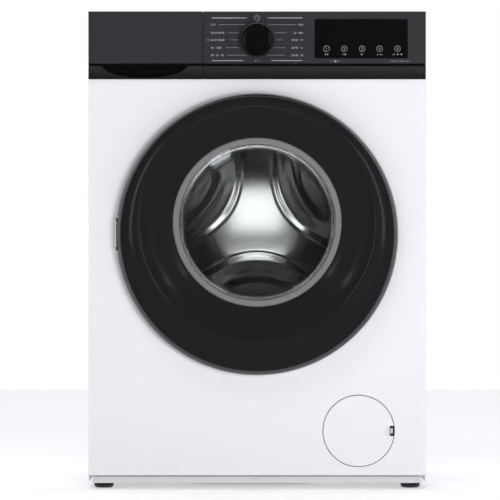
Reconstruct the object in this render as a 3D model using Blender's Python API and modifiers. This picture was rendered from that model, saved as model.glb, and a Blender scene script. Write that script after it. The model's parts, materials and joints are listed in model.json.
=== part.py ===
# Front loading washing machine, modelled as it comes apart on a bench.
# Metres, +Z up, front towards -Y, origin on the floor under the middle of the machine's box.
import math

import bmesh
import bpy
from mathutils import Matrix, Vector

# ---- driving sizes -------------------------------------------------------------------------
WIDTH = 0.597
HEIGHT = 0.845
GAP = 0.0003            # kept between pieces that touch
SHEET = 0.001           # cabinet steel
FRONT_Y = -0.242        # outer face of the front panel
BACK_Y = 0.2625         # outer face of the rear panel
CONSOLE_PROUD = 0.004   # how far the console stands in front of the panel
CONSOLE_H = 0.1195      # height of the console
WORKTOP_T = 0.018
CORNER_R = 0.012        # rounded vertical edges at the front
FOOT_H = 0.010          # pad under the cabinet
PLINTH_TOP = 0.0225
PANEL_Z = 0.024         # lower edge of the front panel
BASE_Z = 0.012
BASE_H = 0.028
BASE_WALL = 0.003

DRUM_Z = 0.472          # height of the drum axis
DRUM_R = 0.2365         # outside of the drum
DRUM_SHEET = 0.001
DRUM_Y0 = -0.178
DRUM_Y1 = 0.118
TUB_GAP = 0.0155        # water gap round the drum
TUB_WALL = 0.003
TUB_Y0 = -0.190
TUB_SPLIT = -0.012
TUB_Y1 = 0.149
BEARING_R = (0.031, 0.026)
SHAFT_R = (0.015, 0.0125)
PULLEY_R = 0.145
PULLEY_Y = 0.203
BELT_W = 0.012
BELT_T = 0.0025
MOTOR_Z = 0.140
MOTOR_R = 0.055
MOTOR_PULLEY_R = 0.011

DOOR_Z = 0.451          # centre of the door's outline, a little under the window
DOOR_R = 0.2506
DOOR_FRONT = -0.2825
DOOR_BACK = -0.250
DOOR_WALL = 0.003
DOOR_BAND = 0.0456      # rim of the door outside its dish
DISH_W = 0.055          # slope of the dish, from the rim to the window
DRUM_MOUTH_OVER = 0.005     # how far each opening is larger than the window
MOUTH_OVER = 0.0145
PORTHOLE_OVER = 0.0265
GLASS_T = 0.004
BOWL_DEPTH = 0.045      # how far the window bowl reaches behind the door
HINGE_IN = 0.0046       # hinge line inside the door's edge
HINGE_Y = -0.262
HINGE_HALF = 0.032      # half the height of the hinge pocket
HOOK_IN = 0.0386        # latch hook inside the door's edge
HOOK_Y = -0.252

DRAWER_SPLIT = -0.096   # seam between drawer front and fascia
GROOVE_UP = 0.0225      # groove above the console's lower edge
GROOVE_H = 0.005
GROOVE_D = 0.002
SHELL = 0.0025          # plastic shells
KNOB_DOWN = 0.0506      # knob's axis below the top
KNOB_R = 0.030
KNOB_H = 0.022
DISPLAY_X = (0.102, 0.266)
DISPLAY_DOWN = (0.0825, 0.014)
BOX_SIDE = 0.0135       # dispenser box to the cabinet's side
BOX_SEAM = 0.004        # dispenser box to the drawer's seam
BOX_DOWN = (0.100, 0.023)
BOX_Y = (-0.224, 0.060)
TRAY_CLEAR = 0.0035

FLAP_X = 0.1797
FLAP_Z = 0.1028
FLAP_R = 0.063
FLAP_GAP = 0.001
FLAP_EDGE = 0.0045      # hinge line inside the flap's edge
BARREL_R = 0.036
FILTER_R = 0.030

SPRING_IN = 0.040       # springs and dampers inside the tub's side
SPRING_Y = 0.095
SPRING_DOWN = 0.045     # spring shelf below the top
SPRING_LOW = 0.072      # spring's lower end below the tub's top
DAMPER_IN = 0.085
DAMPER_Y = 0.030
DAMPER_R = 0.018
ROD_R = 0.008
SUMP = (0.150, -0.130)
HOSE_R = 0.011
FOOT_IN = (0.0255, 0.047, 0.0475)       # from the side, the front and the back
FOOT_R = 0.01725
STUD_R = 0.0045

HALF = WIDTH / 2
TOP_Z = HEIGHT - WORKTOP_T
TUB_IN = DRUM_R + TUB_GAP
TUB_R = TUB_IN + TUB_WALL
TUB_TOP = DRUM_Z + TUB_R
DISH_R = DOOR_R - DOOR_BAND
WINDOW_R = DISH_R - DISH_W
DRUM_MOUTH_R = WINDOW_R + DRUM_MOUTH_OVER
MOUTH_R = WINDOW_R + MOUTH_OVER         # bore of the tub's mouth
PORTHOLE_R = WINDOW_R + PORTHOLE_OVER
HINGE_X = HINGE_IN - DOOR_R
HOOK_X = DOOR_R - HOOK_IN
CONSOLE_Z = HEIGHT - CONSOLE_H          # lower edge of the console
GROOVE_Z = (CONSOLE_Z + GROOVE_UP, CONSOLE_Z + GROOVE_UP + GROOVE_H)
KNOB_Z = HEIGHT - KNOB_DOWN
DISPLAY = (*DISPLAY_X, HEIGHT - DISPLAY_DOWN[0], HEIGHT - DISPLAY_DOWN[1])
BOX_X = (BOX_SIDE - HALF, DRAWER_SPLIT - BOX_SEAM)
BOX_Z = (HEIGHT - BOX_DOWN[0], HEIGHT - BOX_DOWN[1])
FLAP_HINGE = FLAP_R - FLAP_EDGE         # hinge line from the flap's centre
SPRING_X = TUB_R - SPRING_IN
SPRING_Z = (TUB_TOP - SPRING_LOW, HEIGHT - SPRING_DOWN)
DAMPER_X = TUB_R - DAMPER_IN
FOOT_PLACES = [(side * (HALF - FOOT_IN[0]), y) for y in (FRONT_Y + FOOT_IN[1], BACK_Y - FOOT_IN[2])
               for side in (-1, 1)]
CONSOLE_Y = FRONT_Y - CONSOLE_PROUD
CONSOLE_BACK = CONSOLE_Y + 0.0168
BIG = 40                # sides of the large turned pieces
MID = 24
SMALL = 12
DOOR_SIDES = 52

# ---- scene ---------------------------------------------------------------------------------
for old in list(bpy.data.objects):
    bpy.data.objects.remove(old, do_unlink=True)

model = bpy.data.collections.new("front_load_washing_machine")
cutters = bpy.data.collections.new("washing_machine_cutters")
for group in (model, cutters):
    bpy.context.scene.collection.children.link(group)

WHITE = ((0.80, 0.80, 0.82), 0.35, 0.0)
ZINC = ((0.56, 0.57, 0.58), 0.40, 1.0)
STEEL = ((0.62, 0.62, 0.61), 0.30, 1.0)
ALUMINIUM = ((0.68, 0.68, 0.69), 0.45, 1.0)
BLACK = ((0.012, 0.012, 0.013), 0.15, 0.0)
CHARCOAL = ((0.045, 0.046, 0.05), 0.35, 0.0)
DARK = ((0.03, 0.03, 0.032), 0.6, 0.0)
LIGHT = ((0.62, 0.63, 0.65), 0.5, 0.0)
TUB_GREY = ((0.45, 0.46, 0.47), 0.6, 0.0)
RUBBER = ((0.18, 0.18, 0.19), 0.8, 0.0)
CONCRETE = ((0.42, 0.41, 0.39), 0.9, 0.0)
GREEN = ((0.02, 0.15, 0.06), 0.5, 0.0)
CLEAR = ((0.9, 0.92, 0.93), 0.05, 0.0)


# ---- making things -------------------------------------------------------------------------
def mesh_of(bm, name):
    """The finished mesh of a bmesh, shaded smooth with sharp edges kept."""
    mesh = bpy.data.meshes.new(name)
    bm.to_mesh(mesh)
    bm.free()
    mesh.shade_smooth()
    mesh.set_sharp_from_angle(angle=math.radians(32))
    return mesh


def put(name, data, finish, location=(0, 0, 0), rotation=(0, 0, 0)):
    """A piece of the machine, in its own material."""
    piece = bpy.data.objects.new(name, data)
    piece.location = location
    piece.rotation_euler = rotation
    paint = bpy.data.materials.new(name)
    paint.use_nodes = True
    shader = paint.node_tree.nodes["Principled BSDF"]
    shader.inputs["Base Color"].default_value = (*finish[0], 1)
    shader.inputs["Roughness"].default_value = finish[1]
    shader.inputs["Metallic"].default_value = finish[2]
    data.materials.append(paint)
    model.objects.link(piece)
    return piece


def tool(name, data, location=(0, 0, 0), rotation=(0, 0, 0)):
    """A guide shape that cuts or joins a piece and isn't part of the machine."""
    guide = bpy.data.objects.new(name, data)
    guide.location = location
    guide.rotation_euler = rotation
    guide.hide_render = True
    guide.display_type = "WIRE"
    cutters.objects.link(guide)
    return guide


def boolean(piece, guide, operation="DIFFERENCE"):
    step = piece.modifiers.new(guide.name, "BOOLEAN")
    step.operation = operation
    step.solver = "EXACT"
    step.object = guide
    return piece


def bevel(piece, width, segments=2, angle=40):
    edge = piece.modifiers.new("edges", "BEVEL")
    edge.width = width
    edge.segments = segments
    edge.limit_method = "ANGLE"
    edge.angle_limit = math.radians(angle)
    return piece


def block(low, high):
    """A box mesh about its own centre, and that centre."""
    low, high = Vector(low), Vector(high)
    bm = bmesh.new()
    bmesh.ops.create_cube(bm, size=1, matrix=Matrix.Diagonal((*(high - low), 1)))
    return mesh_of(bm, "block"), (low + high) / 2


def box(name, low, high, finish, soften=0.0):
    data, middle = block(low, high)
    piece = put(name, data, finish, middle)
    if soften:
        bevel(piece, soften)
    return piece


def box_tool(name, low, high):
    data, middle = block(low, high)
    return tool(name, data, middle)


def rod_mesh(radius, length, sides):
    """A cylinder along local Z from 0 to its length."""
    bm = bmesh.new()
    bmesh.ops.create_cone(bm, cap_ends=True, segments=sides, radius1=radius, radius2=radius,
                          depth=length, matrix=Matrix.Translation((0, 0, length / 2)))
    return mesh_of(bm, "rod")


ALONG_Y = (math.radians(90), 0, 0)      # local +Z points to the machine's front


def rod_tool(name, radius, x, z, y0, y1, sides=MID):
    """A cylinder along Y from y0 (front) to y1 (back)."""
    return tool(name, rod_mesh(radius, y1 - y0, sides), (x, y1, z), ALONG_Y)


def post_tool(name, radius, x, y, z0, z1, sides=SMALL):
    return tool(name, rod_mesh(radius, z1 - z0, sides), (x, y, z0))


def profile_mesh(points, closed):
    mesh = bpy.data.meshes.new("profile")
    count = len(points)
    edges = [(i, i + 1) for i in range(count - 1)]
    if closed:
        edges.append((count - 1, 0))
    mesh.from_pydata([(r, 0, h) for r, h in points], edges, [])
    return mesh


def spin(piece, sides):
    """Turn a profile right round its local Z."""
    turn = piece.modifiers.new("turn", "SCREW")
    turn.steps = sides
    turn.render_steps = sides
    turn.use_merge_vertices = True
    turn.merge_threshold = 0.00001
    turn.use_smooth_shade = True
    return piece


def turned(name, points, finish, centre, sides, closed=True):
    """A piece turned about Y. Points are (radius, y), front to back on the outer side."""
    profile = profile_mesh([(r, -y) for r, y in points], closed)
    return spin(put(name, profile, finish, (centre[0], 0, centre[1]), ALONG_Y), sides)


def turned_up(name, points, finish, centre, sides, closed=True):
    """A piece turned about Z. Points are (radius, z), top to bottom on the outer side."""
    profile = profile_mesh(points, closed)
    return spin(put(name, profile, finish, (centre[0], centre[1], 0)), sides)


def turned_tool(name, points, centre, sides, closed=True):
    profile = profile_mesh([(r, -y) for r, y in points], closed)
    return spin(tool(name, profile, (centre[0], 0, centre[1]), ALONG_Y), sides)


def arc(cx, cy, radius, start, end, count):
    """Points on an arc, with angles in degrees."""
    turns = [math.radians(start + (end - start) * i / count) for i in range(count + 1)]
    return [(cx + radius * math.cos(t), cy + radius * math.sin(t)) for t in turns]


def solid_from_curve(curve, name):
    """A curve's solid as a closed mesh, with its caps welded."""
    holder = bpy.data.objects.new(name, curve)
    bpy.context.scene.collection.objects.link(holder)
    graph = bpy.context.evaluated_depsgraph_get()
    mesh = bpy.data.meshes.new_from_object(holder.evaluated_get(graph))
    bpy.data.objects.remove(holder)
    bm = bmesh.new()
    bm.from_mesh(mesh)
    bmesh.ops.remove_doubles(bm, verts=bm.verts, dist=0.00001)
    bmesh.ops.recalc_face_normals(bm, faces=bm.faces)
    return mesh_of(bm, name)


def plate_mesh(outlines, thickness):
    """A flat plate in local XY, half its thickness each side. Later outlines are holes."""
    curve = bpy.data.curves.new("plate", "CURVE")
    curve.dimensions = "2D"
    curve.fill_mode = "BOTH"
    curve.extrude = thickness / 2
    for outline in outlines:
        line = curve.splines.new("POLY")
        line.points.add(len(outline) - 1)
        for point, (x, y) in zip(line.points, outline):
            point.co = (x, y, 0, 1)
        line.use_cyclic_u = True
    return solid_from_curve(curve, "plate")


def wire(points, radius, resolution=2):
    """A round wire or tube through the points, with filled caps."""
    curve = bpy.data.curves.new("wire", "CURVE")
    curve.dimensions = "3D"
    curve.bevel_depth = radius
    curve.bevel_resolution = resolution
    curve.use_fill_caps = True
    line = curve.splines.new("POLY")
    line.points.add(len(points) - 1)
    for point, place in zip(line.points, points):
        point.co = (*place, 1)
    return curve


def smooth_route(stops, step):
    """Points about one step apart on a Catmull-Rom curve through the stops."""
    stops = [Vector(s) for s in stops]
    padded = [2 * stops[0] - stops[1], *stops, 2 * stops[-1] - stops[-2]]
    route = []
    for a, b, c, d in zip(padded, padded[1:], padded[2:], padded[3:]):
        count = max(1, round((c - b).length / step))
        for i in range(count):
            t = i / count
            route.append(0.5 * (2 * b + (c - a) * t + (2 * a - 5 * b + 4 * c - d) * t ** 2
                                + (3 * b - a - 3 * c + d) * t ** 3))
    return [*route, stops[-1]]


def bent_sheet(name, outline, z0, z1, thickness, finish):
    """Sheet folded along an outline in plan, its outer face on the outline."""
    bm = bmesh.new()
    low = [bm.verts.new((x, y, 0)) for x, y in outline]
    for a, b in zip(low, low[1:]):
        bm.edges.new((a, b))
    lift = bmesh.ops.extrude_edge_only(bm, edges=bm.edges)
    rise = [v for v in lift["geom"] if isinstance(v, bmesh.types.BMVert)]
    bmesh.ops.translate(bm, verts=rise, vec=(0, 0, z1 - z0))
    for face in bm.faces:
        face.normal_update()
        side = face.calc_center_median()
        if face.normal.dot(Vector((side.x, side.y, 0)) - Vector((0, 0.005, 0))) < 0:
            face.normal_flip()
    piece = put(name, mesh_of(bm, name), finish, (0, 0, z0))
    skin = piece.modifiers.new("gauge", "SOLIDIFY")
    skin.thickness = thickness
    skin.offset = -1
    skin.use_even_offset = True
    return piece


def loft(name, rings, sides, finish, location):
    """A closed skin over unlike rings (centre z, radius, y), in order right round its wall."""
    bm = bmesh.new()
    loops = []
    for centre, radius, y in rings:
        place = Matrix.Translation((-location[0], y - location[1], centre - location[2]))
        lie = Matrix.Rotation(math.radians(90), 4, "X")
        loop = bmesh.ops.create_circle(bm, segments=sides, radius=radius, matrix=place @ lie)
        loops.append(loop["verts"])
    for a, b in zip(loops, loops[1:] + loops[:1]):
        for i in range(sides):
            j = (i + 1) % sides
            bm.faces.new((a[i], a[j], b[j], b[i]))
    bmesh.ops.recalc_face_normals(bm, faces=bm.faces)
    return put(name, mesh_of(bm, name), finish, location)


def pivot(name, location):
    axis = bpy.data.objects.new(name, None)
    axis.location = location
    axis.empty_display_size = 0.05
    model.objects.link(axis)
    return axis


def hang(axis, *pieces):
    """Parent pieces to an axis without moving them."""
    for piece in pieces:
        piece.parent = axis
        piece.matrix_parent_inverse = Matrix.Translation(-Vector(axis.location))


# ---- base, plinth and feet -----------------------------------------------------------------
BASE_HALF = HALF - 0.0085
BASE_Y = (-0.225, BACK_Y - 0.0075)


def base_frame():
    tray = box("base_frame", (-BASE_HALF, BASE_Y[0], BASE_Z),
               (BASE_HALF, BASE_Y[1], BASE_Z + BASE_H), TUB_GREY)
    wall = BASE_WALL
    boolean(tray, box_tool("base_hollow", (-BASE_HALF + wall, BASE_Y[0] + wall, BASE_Z + wall),
                           (BASE_HALF - wall, BASE_Y[1] - wall, BASE_Z + BASE_H + 0.01)))
    boolean(tray, box_tool("motor_well", (-0.11, -0.12, BASE_Z - 0.01), (0.09, 0.19, BASE_Z + 0.02)))
    for i, (x, y) in enumerate(FOOT_PLACES):
        boolean(tray, post_tool(f"stud_hole_{i}", STUD_R + 0.0007, x, y, BASE_Z - 0.01,
                                BASE_Z + 0.01))
    return tray


def plinth():
    strip = box("plinth", (-BASE_HALF + 0.0015 - 0.003, FRONT_Y + 0.004, FOOT_H + GAP),
                (BASE_HALF + 0.0015, BASE_Y[0] - GAP, PLINTH_TOP), LIGHT, 0.0012)
    return strip


def foot(name, place):
    top = BASE_Z + 0.030
    points = [(0, top), (STUD_R, top), (STUD_R, FOOT_H), (FOOT_R, FOOT_H), (FOOT_R, 0.003),
              (0.014, 0), (0, 0)]
    return turned_up(name, points, DARK, place, SMALL, closed=False)


base_frame()
plinth()
for word, place in zip(("front_left", "front_right", "rear_left", "rear_right"), FOOT_PLACES):
    foot(f"foot_{word}", place)


# ---- cabinet -------------------------------------------------------------------------------
def front_panel():
    x, r, back = HALF, CORNER_R, BASE_Y[0] - GAP
    outline = [(-x, back), *arc(-x + r, FRONT_Y + r, r, 180, 270, 4),
               *arc(x - r, FRONT_Y + r, r, 270, 360, 4), (x, back)]
    panel = bent_sheet("front_panel", outline, PANEL_Z, CONSOLE_Z - GAP, SHEET, WHITE)
    boolean(panel, rod_tool("porthole", PORTHOLE_R, 0, DRUM_Z, FRONT_Y - 0.02, FRONT_Y + 0.02, BIG))
    bead = FRONT_Y - 0.0006
    collar = [(PORTHOLE_R + 0.0020, bead), (PORTHOLE_R + 0.0020, FRONT_Y + 0.002),
              (PORTHOLE_R - 0.0030, FRONT_Y + 0.016), (PORTHOLE_R - 0.0065, FRONT_Y + 0.016),
              (PORTHOLE_R - 0.0065, FRONT_Y + 0.015), (PORTHOLE_R - 0.0045, FRONT_Y + 0.015),
              (PORTHOLE_R - 0.0010, bead)]
    boolean(panel, rod_tool("flap_hole", FLAP_R + FLAP_GAP, FLAP_X, FLAP_Z, FRONT_Y - 0.02,
                            FRONT_Y + 0.02, MID))
    boolean(panel, box_tool("lock_slot", (HOOK_X - 0.013, FRONT_Y - 0.01, DOOR_Z - 0.018),
                            (HOOK_X + 0.011, FRONT_Y + 0.01, DOOR_Z + 0.018)))
    return boolean(panel, turned_tool("collar", collar, (0, DRUM_Z), BIG), "UNION")


def side_panel(side):
    word = "left" if side < 0 else "right"
    front, rear = BASE_Y[0] + GAP, BACK_Y - SHEET - GAP
    fold = side * (HALF - 0.016)
    outline = [(side * HALF, front), (side * HALF, rear), (fold, rear)]
    panel = bent_sheet(f"{word}_side_panel", outline, BASE_Z, TOP_Z - GAP, SHEET, WHITE)
    reach = sorted((side * (SPRING_X - 0.02), side * (HALF - SHEET / 2)))
    shelf = box_tool(f"{word}_spring_shelf", (reach[0], SPRING_Y - 0.03, SPRING_Z[1] + 0.002),
                     (reach[1], SPRING_Y + 0.03, SPRING_Z[1] + 0.005))
    boolean(panel, shelf, "UNION")
    boolean(panel, post_tool(f"{word}_spring_hole", 0.005, side * SPRING_X, SPRING_Y,
                             SPRING_Z[1] - 0.01, SPRING_Z[1] + 0.02))
    return panel


COVER = (0.185, 0.255, 0.665)       # half width, bottom and top of the service cover
VALVE = (-0.150, HEIGHT - 0.070)
GLAND = (0.215, HEIGHT - 0.080)
DRAIN = (0.262, HEIGHT - 0.145)


def rear_panel():
    half = HALF - 0.002
    panel = box("rear_panel", (-half, BACK_Y - SHEET, BASE_Z), (half, BACK_Y, TOP_Z - GAP), ZINC)
    hole = COVER[0] - 0.015
    boolean(panel, box_tool("service_hole", (-hole, BACK_Y - 0.02, COVER[1] + 0.015),
                            (hole, BACK_Y + 0.02, COVER[2] - 0.015)))
    for name, place, radius in (("valve_hole", VALVE, 0.015), ("gland_hole", GLAND, 0.0085),
                                ("drain_hole", DRAIN, HOSE_R + 0.002)):
        boolean(panel, rod_tool(name, radius, *place, BACK_Y - 0.02, BACK_Y + 0.02, SMALL))
    return panel


def service_cover():
    half, low, high = COVER
    bm = bmesh.new()
    bmesh.ops.create_cube(bm, size=1, matrix=Matrix.Diagonal((2 * half, 0.008, high - low, 1)))
    inner = [f for f in bm.faces if f.normal.y < -0.5]
    bmesh.ops.delete(bm, geom=inner, context="FACES")
    outer = [f for f in bm.faces if f.normal.y > 0.5]
    for vert in outer[0].verts:
        vert.co.x *= 1 - 0.010 / half
        vert.co.z *= 1 - 0.010 / ((high - low) / 2)
    rim = [e for e in bm.edges if e.is_boundary]
    flange = bmesh.ops.extrude_edge_only(bm, edges=rim)
    for vert in [v for v in flange["geom"] if isinstance(v, bmesh.types.BMVert)]:
        vert.co.x *= 1 + 0.012 / half
        vert.co.z *= 1 + 0.012 / ((high - low) / 2)
    bmesh.ops.recalc_face_normals(bm, faces=bm.faces)
    top = max(bm.faces, key=lambda f: f.calc_center_median().y)
    if top.normal.y < 0:
        bmesh.ops.reverse_faces(bm, faces=bm.faces)
    middle = (0, BACK_Y + GAP + SHEET + 0.004, (low + high) / 2)
    cover = put("rear_service_cover", mesh_of(bm, "cover"), ZINC, middle)
    skin = cover.modifiers.new("gauge", "SOLIDIFY")
    skin.thickness = SHEET
    skin.offset = -1
    return cover


def worktop():
    return box("worktop", (-HALF, CONSOLE_BACK + GAP, TOP_Z), (HALF, BACK_Y, HEIGHT), WHITE, 0.003)


def crossbar_front():
    """Folded steel channel between the side panels, open to the rear."""
    low, high = (-HALF + 0.0025, -0.2275, CONSOLE_Z + 0.0005), (HALF - 0.0025, -0.1975, BOX_Z[0] - 0.0015)
    bar = box("crossbar_front", low, high, ZINC)
    inner = box_tool("crossbar_hollow", (low[0] - 0.01, low[1] + 0.0015, low[2] + 0.0015),
                     (high[0] + 0.01, high[1] + 0.01, high[2] - 0.0015))
    return boolean(bar, inner)


front_panel()
side_panel(-1)
side_panel(1)
rear_panel()
service_cover()
worktop()
crossbar_front()


# ---- console, display, knob and board ------------------------------------------------------
def console_shell(name, x0, x1, rounded, hollow_z, finish):
    """One length of the console: a plastic shell open at the back, with the long groove."""
    z1 = HEIGHT
    outer = (x0, x1)[rounded > 0]
    r = CORNER_R
    if rounded > 0:
        outline = [(x0, CONSOLE_BACK), (x0, CONSOLE_Y), *arc(outer - r, CONSOLE_Y + r, r, 270, 360, 4),
                   (x1, CONSOLE_BACK)]
    else:
        outline = [(x1, CONSOLE_BACK), (x0, CONSOLE_BACK), *arc(outer + r, CONSOLE_Y + r, r, 180, 270, 4),
                   (x1, CONSOLE_Y)]
    shell = put(name, plate_mesh([outline], z1 - CONSOLE_Z), finish, (0, 0, (CONSOLE_Z + z1) / 2))
    end = SHELL + 0.006
    x_in = (x0 + (end if rounded < 0 else SHELL), x1 - (end if rounded > 0 else SHELL))
    boolean(shell, box_tool(f"{name}_hollow", (x_in[0], CONSOLE_Y + SHELL + GROOVE_D, hollow_z[0]),
                            (x_in[1], CONSOLE_BACK + 0.01, hollow_z[1])))
    boolean(shell, box_tool(f"{name}_groove", (x0 - 0.01, CONSOLE_Y - 0.01, GROOVE_Z[0]),
                            (x1 + 0.01, CONSOLE_Y + GROOVE_D, GROOVE_Z[1])))
    return shell


def console_fascia():
    shell = console_shell("console_fascia", DRAWER_SPLIT + 0.0005, HALF, 1,
                          (CONSOLE_Z + SHELL, HEIGHT - SHELL), CHARCOAL)
    x0, x1, z0, z1 = DISPLAY
    boolean(shell, box_tool("display_hole", (x0 - 0.0004, CONSOLE_Y - 0.01, z0 - 0.0004),
                            (x1 + 0.0004, CONSOLE_Y + 0.01, z1 + 0.0004)))
    boolean(shell, rod_tool("knob_hole", 0.0045, 0, KNOB_Z, CONSOLE_Y - 0.02, CONSOLE_Y + 0.02, SMALL))
    return shell


def display_window():
    x0, x1, z0, z1 = DISPLAY
    return box("display_window", (x0, CONSOLE_Y - 0.0004, z0), (x1, CONSOLE_Y + 0.0026, z1), BLACK,
               0.0006)


def programme_knob():
    front, back = CONSOLE_Y - KNOB_H, CONSOLE_Y - GAP
    points = [(0, front), (KNOB_R - 0.004, front), (KNOB_R - 0.0015, front + 0.0015),
              (KNOB_R, front + 0.005), (KNOB_R, back - 0.001), (KNOB_R - 0.001, back),
              (0.0038, back), (0.0038, CONSOLE_Y + 0.026), (0, CONSOLE_Y + 0.026)]
    return turned("programme_knob", points, BLACK, (0, KNOB_Z), MID, closed=False)


def control_board():
    front, top = CONSOLE_BACK + 0.0127, HEIGHT - 0.022
    board = box("control_board", (-0.075, front, top - 0.066), (DISPLAY[1] + 0.006, front + 0.0016, top),
                GREEN)
    for i, (x, down, w, h) in enumerate(((-0.03, 0.033, 0.03, 0.02), (0.06, 0.023, 0.02, 0.016),
                                         (0.18, 0.033, 0.05, 0.024))):
        part = box_tool(f"board_part_{i}", (x - w / 2, front + 0.001, top - down - h / 2),
                        (x + w / 2, front + 0.013, top - down + h / 2))
        boolean(board, part, "UNION")
    return board


console_fascia()
display_window()
programme_knob()
control_board()


# ---- detergent drawer and its box ----------------------------------------------------------
def drawer_front():
    shell = console_shell("drawer_front", -HALF, DRAWER_SPLIT - 0.0005, -1,
                          (GROOVE_Z[1] + SHELL, HEIGHT - SHELL), CHARCOAL)
    bm = bmesh.new()
    size = Matrix.Diagonal((0.076, 0.013, 0.0228, 1))
    bmesh.ops.create_uvsphere(bm, u_segments=20, v_segments=12, radius=1, matrix=size)
    cut = bmesh.ops.bisect_plane(bm, geom=[*bm.verts, *bm.edges, *bm.faces], plane_co=(0, 0, -0.0002),
                                 plane_no=(0, 0, 1), clear_outer=True)
    rim = [e for e in cut["geom_cut"] if isinstance(e, bmesh.types.BMEdge)]
    bmesh.ops.edgeloop_fill(bm, edges=rim)
    bmesh.ops.recalc_face_normals(bm, faces=bm.faces)
    middle = (DRAWER_SPLIT - HALF) / 2 - 0.00175
    scoop = tool("finger_scoop", mesh_of(bm, "scoop"), (middle, CONSOLE_Y - 0.001, GROOVE_Z[0] + 0.0022))
    return boolean(shell, scoop)


TRAY_X = (BOX_X[0] + TRAY_CLEAR, BOX_X[1] - TRAY_CLEAR)
TRAY_Z = (BOX_Z[0] + TRAY_CLEAR, BOX_Z[1] - TRAY_CLEAR)
TRAY_Y = (CONSOLE_BACK + GAP, BOX_Y[1] - 0.020)
TRAY_SPLITS = (-0.205, -0.145)          # walls between the three compartments


def drawer_tray():
    tray = box("drawer_tray", (TRAY_X[0], TRAY_Y[0], TRAY_Z[0]), (TRAY_X[1], TRAY_Y[1], TRAY_Z[1]),
               LIGHT)
    wall = 0.002
    stops = (TRAY_X[0] + wall / 2, *TRAY_SPLITS, TRAY_X[1] - wall / 2)
    for i, (x0, x1) in enumerate(zip(stops, stops[1:])):
        pocket = box_tool(f"compartment_{i}", (x0 + wall / 2, TRAY_Y[0] + 0.012, TRAY_Z[0] + wall),
                          (x1 - wall / 2, TRAY_Y[1] - wall, TRAY_Z[1] + 0.01))
        boolean(tray, pocket)
    return tray


def dispenser_box():
    casing = box("dispenser_box", (BOX_X[0], BOX_Y[0], BOX_Z[0]), (BOX_X[1], BOX_Y[1], BOX_Z[1]),
                 TUB_GREY)
    boolean(casing, box_tool("box_hollow", (BOX_X[0] + SHELL, BOX_Y[0] - 0.01, BOX_Z[0] + SHELL),
                             (BOX_X[1] - SHELL, BOX_Y[1] - SHELL, BOX_Z[1] - SHELL)))
    boolean(casing, post_tool("box_outlet", 0.016, *OUTLET, BOX_Z[0] - 0.01, BOX_Z[0] + 0.01))
    return casing


OUTLET = (-0.160, 0.030)
drawer_front()
drawer_tray()
dispenser_box()


# ---- water inlet, hoses and mains filter ---------------------------------------------------
def inlet_valve():
    body = box("inlet_valve", (VALVE[0] - 0.022, 0.205, VALVE[1] - 0.028),
               (VALVE[0] + 0.022, BACK_Y - SHEET - GAP, VALVE[1] + 0.028), LIGHT, 0.002)
    spigot = [(0.0075, 0.250), (0.0075, 0.2825), (0.0131, 0.2825), (0.0131, 0.250)]
    return boolean(body, turned_tool("spigot", spigot[::-1], VALVE, SMALL), "UNION")


def inlet_hose():
    x, z = VALVE
    stops = ((x, 0.2045, z), (x, 0.185, z), (x + 0.004, 0.140, z + 0.001), (x + 0.004, 0.095, z),
             (x + 0.004, BOX_Y[1] + GAP, z))
    return put("inlet_hose", wire(smooth_route(stops, 0.022), 0.0075), RUBBER)


def pleats(z_top, z_low, mean, depth, count, wall):
    """Profile of a bellows round Z, top to bottom outside and back up inside."""
    rise = (z_top - z_low) / (2 * count)
    outer = [(mean + (depth if i % 2 else 0), z_top - i * rise) for i in range(2 * count + 1)]
    inner = [(r - wall, z) for r, z in reversed(outer)]
    return outer + inner


def dispenser_hose():
    points = pleats(BOX_Z[0] - GAP, TUB_TOP + 0.0045, 0.017, 0.003, 2, 0.0025)
    return turned_up("dispenser_hose", points, RUBBER, OUTLET, SMALL)


def mains_filter():
    x, z = GLAND
    body = box("mains_filter", (x - 0.025, 0.205, z - 0.025), (x + 0.025, BACK_Y - SHEET - GAP, z + 0.025),
               LIGHT, 0.002)
    gland = [(0, 0.278), (0.0055, 0.278), (0.0075, 0.255), (0, 0.255)]
    return boolean(body, turned_tool("gland", gland[::-1], GLAND, SMALL, closed=False), "UNION")


inlet_valve()
inlet_hose()
dispenser_hose()
mains_filter()


# ---- tub -----------------------------------------------------------------------------------
def tub_rise(x):
    """Height of the tub's wall above or below its axis, at a distance x beside it."""
    return math.sqrt(TUB_R ** 2 - x ** 2)


SPIGOT_TOP = DRUM_Z - tub_rise(SUMP[0]) + 0.0442
LUG_Z = DRUM_Z - tub_rise(DAMPER_X) - 0.01943
EAR_Z = DRUM_Z + tub_rise(SPRING_X) - 0.01911


def tub_front_half():
    y0 = TUB_Y0
    points = [(MOUTH_R + TUB_WALL, y0 - 0.010), (MOUTH_R + TUB_WALL, y0 - 0.0025),
              (TUB_R - 0.006, y0), (TUB_R, y0 + 0.006), (TUB_R, TUB_SPLIT - 0.008),
              (TUB_R + 0.007, TUB_SPLIT - 0.008), (TUB_R + 0.007, TUB_SPLIT), (TUB_IN, TUB_SPLIT),
              (TUB_IN, y0 + 0.008), (TUB_IN - 0.005, y0 + TUB_WALL), (MOUTH_R, y0 + 0.0005),
              (MOUTH_R, y0 - 0.010)]
    half = turned("tub_front_half", points, TUB_GREY, (0, DRUM_Z), BIG)
    x, y = SUMP
    boolean(half, post_tool("sump_spigot", 0.024, x, y, 0.205, SPIGOT_TOP), "UNION")
    boolean(half, rod_tool("tub_front_cavity", TUB_IN - 0.0005, 0, DRUM_Z, y0 + 0.0085,
                           TUB_SPLIT + 0.01, BIG))
    boolean(half, post_tool("sump_bore", 0.0195, x, y, 0.195, SPIGOT_TOP + 0.010))
    return half


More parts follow.
